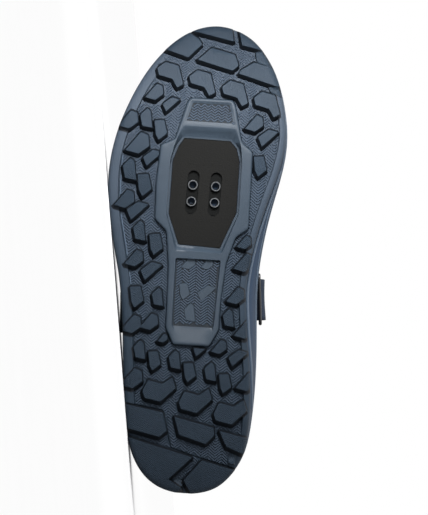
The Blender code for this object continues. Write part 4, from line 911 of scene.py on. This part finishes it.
def dressRest():
    made = {}
    for node, (name, finish, levels) in dressed.items():
        piece = cadCopy(node, name, skins[finish], levels)
        if node == "upper":
            shapeUpper(piece, skins["knittedCloth"], skins["weldedFilm"])
        if node == "tongue":
            quiltTongue(piece)
        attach(piece, "root")
        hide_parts(node)
        made[name] = piece
    for node, finish in keptNodes.items():
        materials = frame["nodes"][node].data.materials
        materials.clear()
        materials.append(skins[finish])
    return made


# Seams, stitches and punched holes, thrown onto the pieces from the side or from above
def softLine(points, step):
    line = np.array(points, float)
    for _ in range(3):
        low, high = line[:-1] * 0.75 + line[1:] * 0.25, line[:-1] * 0.25 + line[1:] * 0.75
        line = np.vstack([line[:1], np.stack([low, high], 1).reshape(-1, line.shape[1]), line[-1:]])
    reach = np.concatenate([[0], np.cumsum(np.linalg.norm(np.diff(line, axis=0), axis=1))])
    spots = np.linspace(0, reach[-1], max(2, round(reach[-1] / step) + 1))
    return np.column_stack([np.interp(spots, reach, line[:, k]) for k in range(line.shape[1])])


def surfaceTree(*items):
    points, faces = [], []
    for item in items:
        first = len(points)
        points += [toShoe @ v.co / mm for v in item.data.vertices]
        faces += [tuple(first + k for k in p.vertices) for p in item.data.polygons]
    return BVHTree.FromPolygons(points, faces)


def thrown(tree, line, view, lift=0.0):
    # each spot comes back with the surface's own direction there; spots that miss are dropped
    found = []
    for a, b in line:
        start, ray = {"inner": ((-90, a, b), (1, 0, 0)), "outer": ((90, a, b), (-1, 0, 0)),
                      "above": ((a, b, 150), (0, 0, -1))}[view]
        spot, facing, _, _ = tree.ray_cast(Vector(start), Vector(ray))
        if spot is not None and (view == "above" or spot.x * start[0] > 200):
            facing = facing if facing.dot(Vector(ray)) < 0 else -facing
            found.append((spot + facing * lift, facing))
    return found


def bandRows(tree, stations, across, ray, margin):
    # the two rows that run just inside a piece's edges
    rows = ([], [])
    for station in stations:
        hits = []
        for a in across:
            start, way = ray(station, a)
            spot, facing, _, _ = tree.ray_cast(Vector(start), Vector(way))
            if spot is not None:
                hits.append((spot, facing if facing.dot(Vector(way)) < 0 else -facing))
        if len(hits) > 2 * margin + 2:
            rows[0].append(hits[margin])
            rows[1].append(hits[-1 - margin])
    return rows


def spaced(row, pitch):
    # spots a pitch apart along a row, each with the row's direction and the surface's
    spots = np.array([tuple(s) for s, _ in row])
    facing = np.array([tuple(f) for _, f in row])
    reach = np.concatenate([[0], np.cumsum(np.linalg.norm(np.diff(spots, axis=0), axis=1))])
    at = np.arange(pitch / 2, reach[-1], pitch)
    here = np.column_stack([np.interp(at, reach, spots[:, k]) for k in range(3)])
    ahead = np.column_stack([np.interp(at + 0.5, reach, spots[:, k]) for k in range(3)])
    behind = np.column_stack([np.interp(at - 0.5, reach, spots[:, k]) for k in range(3)])
    out = np.column_stack([np.interp(at, reach, facing[:, k]) for k in range(3)])
    return here, ahead - behind, out


def partTree():
    # a small shape stands at every point, turned to the direction that the point's attribute holds
    inputs = (("Spots", "Geometry"), ("Shape", "Object"), ("Material", "Material"))
    tree, source, names = newTree("placedParts", inputs)
    spots = addNode(tree, "GeometryNodeMeshToPoints", {"Mesh": source["Spots"]})
    along = addNode(tree, "GeometryNodeInputNamedAttribute", {"Name": "along"}, data_type="FLOAT_VECTOR")
    turn = addNode(tree, "FunctionNodeAlignRotationToVector", {"Vector": along.outputs[0]}, axis="Z")
    shape = addNode(tree, "GeometryNodeObjectInfo", {"Object": source["Shape"]})
    size = addNode(tree, "FunctionNodeRandomValue", {2: 0.93, 3: 1.07, "Seed": 7}, data_type="FLOAT")
    parts = addNode(tree, "GeometryNodeInstanceOnPoints",
                    {"Points": spots.outputs[0], "Instance": shape.outputs["Geometry"],
                     "Rotation": turn.outputs[0], "Scale": size.outputs[1]})
    endTree(tree, parts.outputs[0], source["Material"])
    return tree, names


def placedParts(name, spots, along, shape, material):
    mesh = bpy.data.meshes.new(name)
    mesh.from_pydata([tuple(toWorld @ Vector(p * mm)) for p in spots], [], [])
    turned = np.array([tuple(toWorld.to_3x3() @ Vector(v)) for v in along], dtype=np.float32)
    layer = mesh.attributes.new("along", "FLOAT_VECTOR", "POINT")
    layer.data.foreach_set("vector", turned.ravel())
    return grown(name, mesh, trees["parts"], {"Shape": shape, "Material": material})


def turnedShape(name, rows, sides):
    # a small closed solid turned round z: rows of radius and height, with a point at each end
    points, faces = [(0, 0, rows[0][1])], []
    for radius, height in rows[1:-1]:
        points += [(radius * math.cos(t), radius * math.sin(t), height)
                   for t in np.arange(sides) * 2 * math.pi / sides]
    points.append((0, 0, rows[-1][1]))
    last = len(points) - 1
    for k in range(len(rows) - 3):
        for s in range(sides):
            a, b = 1 + k * sides + s, 1 + k * sides + (s + 1) % sides
            faces.append((a, b, b + sides, a + sides))
    for s in range(sides):
        faces.append((0, 1 + (s + 1) % sides, 1 + s))
        faces.append((last, last - sides + s, last - sides + (s + 1) % sides))
    return newObject(name, np.array(points) * mm, faces, None)


# The upper's lines by place from the heel and height, alike on both sides
sideSeams = {
    # name: points, whether it has a raised edge, how many rows of stitches, distance of the first row
    "collarRow": (((14, 85), (22, 83), (34, 79), (46, 75.5), (58, 73), (68, 73), (78, 76), (87, 83)),
                  False, 2, 0),
    "quarterSeam": (((156, 77), (152, 66), (146, 55), (137, 46), (124, 39)), True, 2, 2.0),
    "ankleSeam": (((64, 60), (74, 55), (86, 55), (97, 62), (101, 72)), True, 1, 2.0),
    "mudguard": (((66, 44), (90, 41), (118, 37), (150, 34.5), (185, 33), (215, 34), (240, 37.5), (256, 42)),
                 True, 0, 0),
}
# The throat's seam in plan, round the front of its cover: across to the outer side, then from the heel
throatSeam = ((-25.5, 136), (-26, 150), (-25.5, 170), (-23, 190), (-17, 205), (-8, 212.5), (1, 214.5),
              (11, 213), (20, 206), (27, 191), (30, 170), (31, 150), (31, 136))
stitch = {"pitch": 2.9, "length": 2.1, "radius": 0.27, "endRadius": 0.17, "rowGap": 1.7, "edgeRadius": 0.42,
          "proud": 0.08, "throatRows": (2.2, 4.0)}
mudguard = np.array(sideSeams["mudguard"][0])
holeRows = {"radius": 0.8, "thickness": 0.12, "pitch": 4.4, "rows": 4, "columns": 8, "front": 209, "top": 47.5,
            "rise": 0.3, "packing": 0.87, "toeRows": 3, "toeFront": 246.5, "toeMiddle": 3}
beadRows = {"heights": ((8, 31), (30, 32), (60, 31), (90, 30), (120, 27.5), (150, 24), (180, 20.5), (205, 20),
                        (225, 21), (246, 24.5), (262, 29), (274, 33)),
            "drops": (3.5, 8.0), "radius": 0.55, "innerLift": 0.0, "outerLift": -0.35}
# The creases of the vamp in plan and of the ankle in side view: points, width, depth
vampCreases = (
    (((-31, 221), (-15, 229.5), (2, 232), (20, 228), (37, 216)), 2.6, 0.9),
    (((-35, 205), (-27, 213), (-16, 217.5)), 2.2, 0.75),
    (((42, 200), (33, 210), (21, 216)), 2.2, 0.75),
    (((-19, 238), (0, 241.5), (22, 237)), 2.2, 0.5),
    (((-38, 190), (-31, 197), (-24, 201)), 2.0, 0.45),
)
ankleCreases = (
    (((118, 66), (108, 58), (98, 50), (90, 41)), 2.6, 0.7), (((106, 78), (97, 70), (86, 66)), 2.2, 0.6),
    (((60, 66), (50, 58), (38, 54)), 3.0, 0.5), (((74, 64), (68, 54), (66, 46)), 2.6, 0.4),
)


def openDistance(spots, line):
    line = softLine(line, 2.0)
    a, span = line[:-1], np.diff(line, axis=0)
    t = np.clip(((spots[:, None, :] - a) * span).sum(2) / (span**2).sum(1), 0, 1)
    away = np.linalg.norm(spots[:, None, :] - (a + t[:, :, None] * span), axis=2)
    nearest = away.argmin(1)
    share = (nearest + t[np.arange(len(spots)), nearest]) / len(a)
    return away.min(1), np.sin(np.clip(share, 0, 1) * math.pi) ** 0.5


def creaseDepth(spots, creases):
    moved = np.zeros(len(spots))
    for line, width, depth in creases:
        away, strength = openDistance(spots, line)
        # a low swell stands on each side of the dent
        swell = 0.35 * np.exp(-((away - 2.1 * width) / width) ** 2)
        moved += strength * depth * (swell - np.exp(-(away / width) ** 2))
    return moved


def shapeUpper(piece, lining, film):
    # creases and the welded guard move the outer skin only; faces that look at the hollow become lining
    mesh = piece.data
    mesh.transform(toShoe)
    corners = [v.co / mm for v in mesh.vertices]
    tree = BVHTree.FromPolygons(corners, [tuple(p.vertices) for p in mesh.polygons])
    mesh.materials.append(lining)
    mesh.materials.append(film)
    hollow = np.zeros(len(mesh.vertices), dtype=bool)
    for face in mesh.polygons:
        start = face.center / mm + face.normal * 0.6
        inner = tree.ray_cast(start, face.normal, 140)[0] is not None
        guardTop = np.interp(face.center.y / mm, mudguard[:, 0], mudguard[:, 1])
        if inner:
            face.material_index = 1
            hollow[list(face.vertices)] = True
        elif face.center.z / mm < guardTop and face.center.y / mm > 60:
            face.material_index = 2
    coords = np.array([tuple(v.co) for v in mesh.vertices]) / mm
    normals = np.array([tuple(v.normal) for v in mesh.vertices])
    top = np.clip((normals[:, 2] - 0.1) / 0.3, 0, 1)
    side = np.clip((np.abs(normals[:, 0]) - 0.5) / 0.3, 0, 1)
    moved = creaseDepth(coords[:, :2], vampCreases) * top + creaseDepth(coords[:, 1:], ankleCreases) * side
    guard = np.interp(coords[:, 1], mudguard[:, 0], mudguard[:, 1]) - coords[:, 2]
    moved += 0.35 * np.clip(guard / 1.2, 0, 1) * side * (coords[:, 1] > 60)
    moved[hollow] = 0
    mesh.vertices.foreach_set("co", ((coords + normals * moved[:, None]) * mm).ravel())
    mesh.transform(toWorld)
    mesh.update()


def quiltTongue(piece):
    # soft channels across the padded tongue
    mesh = piece.data
    mesh.transform(toShoe)
    coords = np.array([tuple(v.co) for v in mesh.vertices]) / mm
    normals = np.array([tuple(v.normal) for v in mesh.vertices])
    reach = coords[:, 2] - 0.4 * coords[:, 1]
    channel = np.abs((reach / 9.0) % 1.0 - 0.5) * 9.0
    facing = np.clip((np.abs(normals[:, 1]) + np.abs(normals[:, 2]) - 0.7) / 0.2, 0, 1)
    middle = np.clip((15 - np.abs(coords[:, 0] - 3)) / 5, 0, 1)
    moved = -0.8 * np.exp(-(channel / 1.5) ** 2) * facing * middle
    mesh.vertices.foreach_set("co", ((coords + normals * moved[:, None]) * mm).ravel())
    mesh.transform(toWorld)
    mesh.update()


def beside(line, away):
    # the line moved square to itself, to its right
    slope = np.gradient(line, axis=0)
    right = np.column_stack([slope[:, 1], -slope[:, 0]]) / np.linalg.norm(slope, axis=1)[:, None]
    return line + right * away


def spotsOf(row):
    return np.array([tuple(spot) for spot, _ in row])


def roundShoe(angle, along):
    way = Vector((math.cos(angle), 0, math.sin(angle)))
    return Vector((4, along, 52)) + way * 90, -way


def aboveCover(along, across):
    return (across, along, 150), (0, 0, -1)


def aboveCap(across, along):
    return (across, along, 150), (0, 0, -1)


def fromInnerSide(along, height):
    return (-90, along, height), (1, 0, 0)


def fromOuterSide(along, height):
    return (90, along, height), (-1, 0, 0)


def seamRows(pieces, skin):
    # the lines of the folded edges, and those of the stitches
    folded, sewn = [], []
    for side in ("inner", "outer"):
        for points, raised, rows, away in sideSeams.values():
            line = softLine(points, 2.0)
            if raised:
                folded.append(thrown(skin, line, side, 0.05))
            for k in range(rows):
                sewn.append(thrown(skin, beside(line, away + k * stitch["rowGap"]), side))
    line = softLine(throatSeam, 2.0)
    folded.append(thrown(skin, line, "above", 0.05))
    for away in stitch["throatRows"]:
        sewn.append(thrown(skin, beside(line, -away), "above"))
    strap, cover, cap, counter = (surfaceTree(pieces[name])
                                  for name in ("instepStrap", "throatCover", "toeCap", "heelCounter"))
    sewn += bandRows(strap, np.linspace(-0.15, math.pi + 0.12, 76), np.arange(90, 142, 0.5), roundShoe, 4)
    sewn += bandRows(cover, np.arange(105, 204, 2.0), np.arange(-26, 30, 0.5), aboveCover, 4)
    sewn.append(bandRows(cap, np.arange(-36, 38, 1.5), np.arange(248, 289, 0.5), aboveCap, 4)[0])
    for ray in (fromInnerSide, fromOuterSide):
        sewn.append(bandRows(counter, np.arange(10, 62, 2.0), np.arange(30, 80, 0.5), ray, 4)[1])
    return folded, [row for row in sewn if len(row) > 3]


def buildSeams(pieces, skin):
    folded, sewn = seamRows(pieces, skin)
    edges = [spotsOf(row) * mm for row in folded]
    sweptRods("foldedEdges", edges, stitch["edgeRadius"], 6, skins["foldedEdge"])
    spots, along = [], []
    for row in sewn:
        here, forward, out = spaced(row, stitch["pitch"])
        spots.append(here + out * stitch["proud"])
        along.append(forward)
    half, thick, thin = stitch["length"] / 2, stitch["radius"], stitch["endRadius"]
    rows = ((0, -half), (thin, -0.9), (thick, -0.5), (thick, 0.5), (thin, 0.9), (0, half))
    capsule = turnedShape("capsule", rows, 6)
    placedParts("stitches", np.vstack(spots), np.vstack(along), capsule,
                skins["polyesterThread"])
    bpy.data.objects.remove(capsule)
    print("stitches", sum(len(row) for row in spots))


def buildHoles(skin):
    # vent holes in offset rows on both sides, and over the toes, each a black disc of painted shade
    size = holeRows
    pitch, drop = size["pitch"], size["packing"] * size["pitch"]
    found = []
    for side in ("inner", "outer"):
        for i in range(size["rows"]):
            for j in range(i, size["columns"]):
                along = size["front"] - (j + 0.5 * i) * pitch
                height = size["top"] + size["rise"] * (size["front"] - along) - i * drop
                found += thrown(skin, [(along, height)], side)
    for i in range(size["toeRows"]):
        for j in range(7 - i % 2):
            across = size["toeMiddle"] + (j - 3 + 0.5 * (i % 2)) * pitch
            found += thrown(skin, [(across, size["toeFront"] - i * drop)], "above")
    half, radius = size["thickness"] / 2, size["radius"]
    disc = turnedShape("disc", ((0, -half), (radius, 0.01 - half), (radius, half - 0.01), (0, half)), 14)
    facing = [tuple(way) for _, way in found]
    placedParts("punchedHoles", spotsOf(found), facing, disc, skins["punchedHole"])
    bpy.data.objects.remove(disc)
    print("punched holes", len(found))


def buildMidsoleBeads(foam):
    # the outer beads are sunk, so that they stay off the floor
    beads = []
    for side in ("inner", "outer"):
        for drop in beadRows["drops"]:
            line = softLine([(along, height - drop) for along, height in beadRows["heights"]], 2.5)
            beads.append(spotsOf(thrown(foam, line, side, beadRows[side + "Lift"])) * mm)
    sweptRods("midsoleBeads", beads, beadRows["radius"], 6, skins["foamBead"])


# Threaded collars round the four cleat holes
collars = {"places": ((-8.3, 190.4), (5.9, 190.2), (-8.7, 180.2), (5.7, 180.2)), "outer": 3.0, "inner": 2.3,
           "height": 0.9, "sides": 28}


def ringRows(rows, sides, centre):
    # a closed ring turned round an upright axis: each row is a radius and a level
    turn = np.arange(sides) * 2 * math.pi / sides
    points = [(centre[0] + r * math.cos(t), centre[1] + r * math.sin(t), z) for r, z in rows for t in turn]
    faces, count = [], len(rows)
    for k in range(count):
        for s in range(sides):
            a, b = k * sides + s, k * sides + (s + 1) % sides
            c, d = ((k + 1) % count) * sides + (s + 1) % sides, ((k + 1) % count) * sides + s
            faces.append((a, b, c, d))
    return points, faces


# Faint ridges beside the slots, which help a rider to set both cleats alike
plateRidges = {"columns": (-17.0, 14.0), "from": 176.5, "pitch": 2.5, "count": 7, "long": 3.2, "short": 1.9,
               "bars": (168.5, 203.5), "barEnds": (-9.5, 11.5), "radius": 0.16, "sink": 0.05}


def buildPlateMarks():
    size = plateRidges
    level = sole["plateLevel"] + size["sink"]
    lines = []
    for across in size["columns"]:
        for k in range(size["count"]):
            half = (size["short"] if k % 3 else size["long"]) / 2
            along = size["from"] + size["pitch"] * k
            lines.append(np.array([(-across - half, along, level), (-across + half, along, level)]) * mm)
    for along in size["bars"]:
        lines.append(np.array([(end, along, level) for end in size["barEnds"]]) * mm)
    sweptRods("plateMarks", lines, size["radius"], 5, skins["glassFilledNylon"])


def buildCollars():
    nut = frame["nodes"]["cleat_nut_plate"].data
    face = min((toShoe @ v.co).z for v in nut.vertices) / mm
    points, faces = [], []
    low, outer, inner = face - collars["height"], collars["outer"], collars["inner"]
    for a, b in collars["places"]:
        # rows of radius and level, from the foot round the rim and down inside
        rows = ((outer, face + 0.2), (outer, low + 0.2), (outer - 0.2, low), (inner + 0.15, low),
                (inner, low + 0.15), (inner, face + 0.2))
        ring, quads = ringRows(rows, collars["sides"], (-a, b))
        faces += [tuple(v + len(points) for v in q) for q in quads]
        points += ring
    piece = newObject("threadCollars", np.array(points) * mm, faces, skins["zincPlatedSteel"])
    work = bmesh.new()
    work.from_mesh(piece.data)
    bmesh.ops.recalc_face_normals(work, faces=work.faces)
    work.to_mesh(piece.data)
    work.free()
    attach(place(piece), "root")
    print("thread collars", len(collars["places"]))


# Camera, light and floor. The photograph looks square at the sole with the toe up
photoView = {"height": 515, "pixelsPerMm": 1.628, "distance": 2.2, "aim": (-7.3, 146.5, 0.0), "toeLean": 3.31}


def setCamera():
    size = photoView
    camera = bpy.data.cameras.new("camera")
    item = linked("camera", camera)
    lean = math.radians(size["toeLean"])
    right = Vector((-math.cos(lean), math.sin(lean), 0))
    up = Vector((math.sin(lean), math.cos(lean), 0))
    back = Vector((0, 0, -1))
    turn = Matrix((right, up, back)).transposed().to_4x4()
    turn.translation = Vector(size["aim"]) * mm + back * size["distance"]
    item.matrix_world = toWorld @ turn
    camera.sensor_fit = "VERTICAL"
    camera.sensor_height = 24
    camera.lens = camera.sensor_height * size["distance"] / (size["height"] / size["pixelsPerMm"] * mm)
    camera.clip_end = 100
    bpy.context.scene.camera = item


# Lights in the shoe's frame, in metres: across to the inner side, along to the toe, out from the sole
lamps = {
    # name: place, aim, size, power, spread in degrees
    "toeLight": ((0.03, 0.42, 0.27), (0.0, 0.195, 0.0), (0.15, 0.15), 0.42, 52),
    "fillLight": ((0.45, 0.20, 0.90), (0.0, 0.14, 0.0), (0.6, 0.6), 0.2, 120),
}
studio = {"horizon": 0.12, "overhead": 1.4, "floorReach": 30}


def addLight(name, spot, aim, size, power, spread):
    light = bpy.data.lights.new(name, "AREA")
    light.shape = "RECTANGLE"
    light.size, light.size_y = size
    light.energy = power
    light.spread = math.radians(spread)
    item = linked(name, light)
    item.visible_camera = False
    start, stop = (toWorld @ Vector((-p[0], p[1], -p[2])) for p in (spot, aim))
    item.location = start
    item.rotation_euler = (stop - start).to_track_quat("-Z", "Y").to_euler()


def setStage():
    reach = studio["floorReach"]
    corners = [(-reach, -reach, 0), (reach, -reach, 0), (reach, reach, 0), (-reach, reach, 0)]
    floor = newObject("floor", corners, [(0, 1, 2, 3)], skins["paleFloor"])
    floor.visible_glossy = False  # a black flag would keep it out of the sole's gloss
    sky = bpy.data.worlds.new("studio")
    bpy.context.scene.world = sky
    sky.use_nodes = True
    tree = sky.node_tree
    # brighter overhead than at the horizon, and plain white behind the shoe
    direction = addNode(tree, "ShaderNodeTexCoord")
    height = addNode(tree, "ShaderNodeSeparateXYZ", {0: direction.outputs["Generated"]})
    above = addNode(tree, "ShaderNodeMath", {0: height.outputs[2], 1: 0.0}, operation="MAXIMUM")
    strength = addNode(tree, "ShaderNodeMath",
                       {0: above.outputs[0], 1: studio["overhead"], 2: studio["horizon"]},
                       operation="MULTIPLY_ADD")
    back = tree.nodes["Background"]
    back.inputs[0].default_value = (1, 1, 1, 1)
    tree.links.new(strength.outputs[0], back.inputs[1])
    seen = addNode(tree, "ShaderNodeBackground", {0: (1, 1, 1, 1), 1: 1.0})
    path = addNode(tree, "ShaderNodeLightPath")
    mix = addNode(tree, "ShaderNodeMixShader", {0: path.outputs[0], 1: back.outputs[0], 2: seen.outputs[0]})
    tree.links.new(mix.outputs[0], tree.nodes["World Output"].inputs[0])
    for name, values in lamps.items():
        addLight(name, *values)
    bpy.context.scene.view_settings.view_transform = "Standard"


skins = {name: grainedSkin(name) for name in finishes}
trees = {"rods": rodTree(), "parts": partTree()}
print("materials and trees are made", len(skins))
setCamera()
setStage()
print("camera, light and floor are set")

outsole = buildOutsole(mouldedRubber())
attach(outsole, "root")
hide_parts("outsole")
print("outsole faces", len(outsole.data.polygons))
cleatFrame = buildFrame(mouldedNylon())
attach(cleatFrame, "root")
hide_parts("cleat_frame")
print("cleat frame faces", len(cleatFrame.data.polygons))

grooveLines = ribLines(ribs, (-62, 4), (62, 286), grooveLevel, grooveIsFree)
sweptRods("grooveRibs", grooveLines, ribs["radius"], 5, skins["ribRubber"])
padLines = ribLines(padRibs, (-22, 224), (22, 244), frameLevel, rampIsFree)
padLines += ribLines(recessRibs, (-22, 100), (22, 148), frameLevel, recessIsFree)
sweptRods("padRibs", padLines, padRibs["radius"], 5, skins["ribRubber"])
print("ribs", len(grooveLines), len(padLines))

pieces = dressRest()
shoeSkin = surfaceTree(*(pieces[name] for name in ("shoeUpper", "toeCap", "heelCounter", "throatCover")))
buildSeams(pieces, shoeSkin)
buildHoles(shoeSkin)
foamSide = surfaceTree(pieces["foamMidsole"])
buildInnerBead(foamSide)
buildOuterBead()
buildMidsoleBeads(foamSide)
buildCollars()
buildPlateMarks()
print("upper, midsole, strap and the rest are dressed")
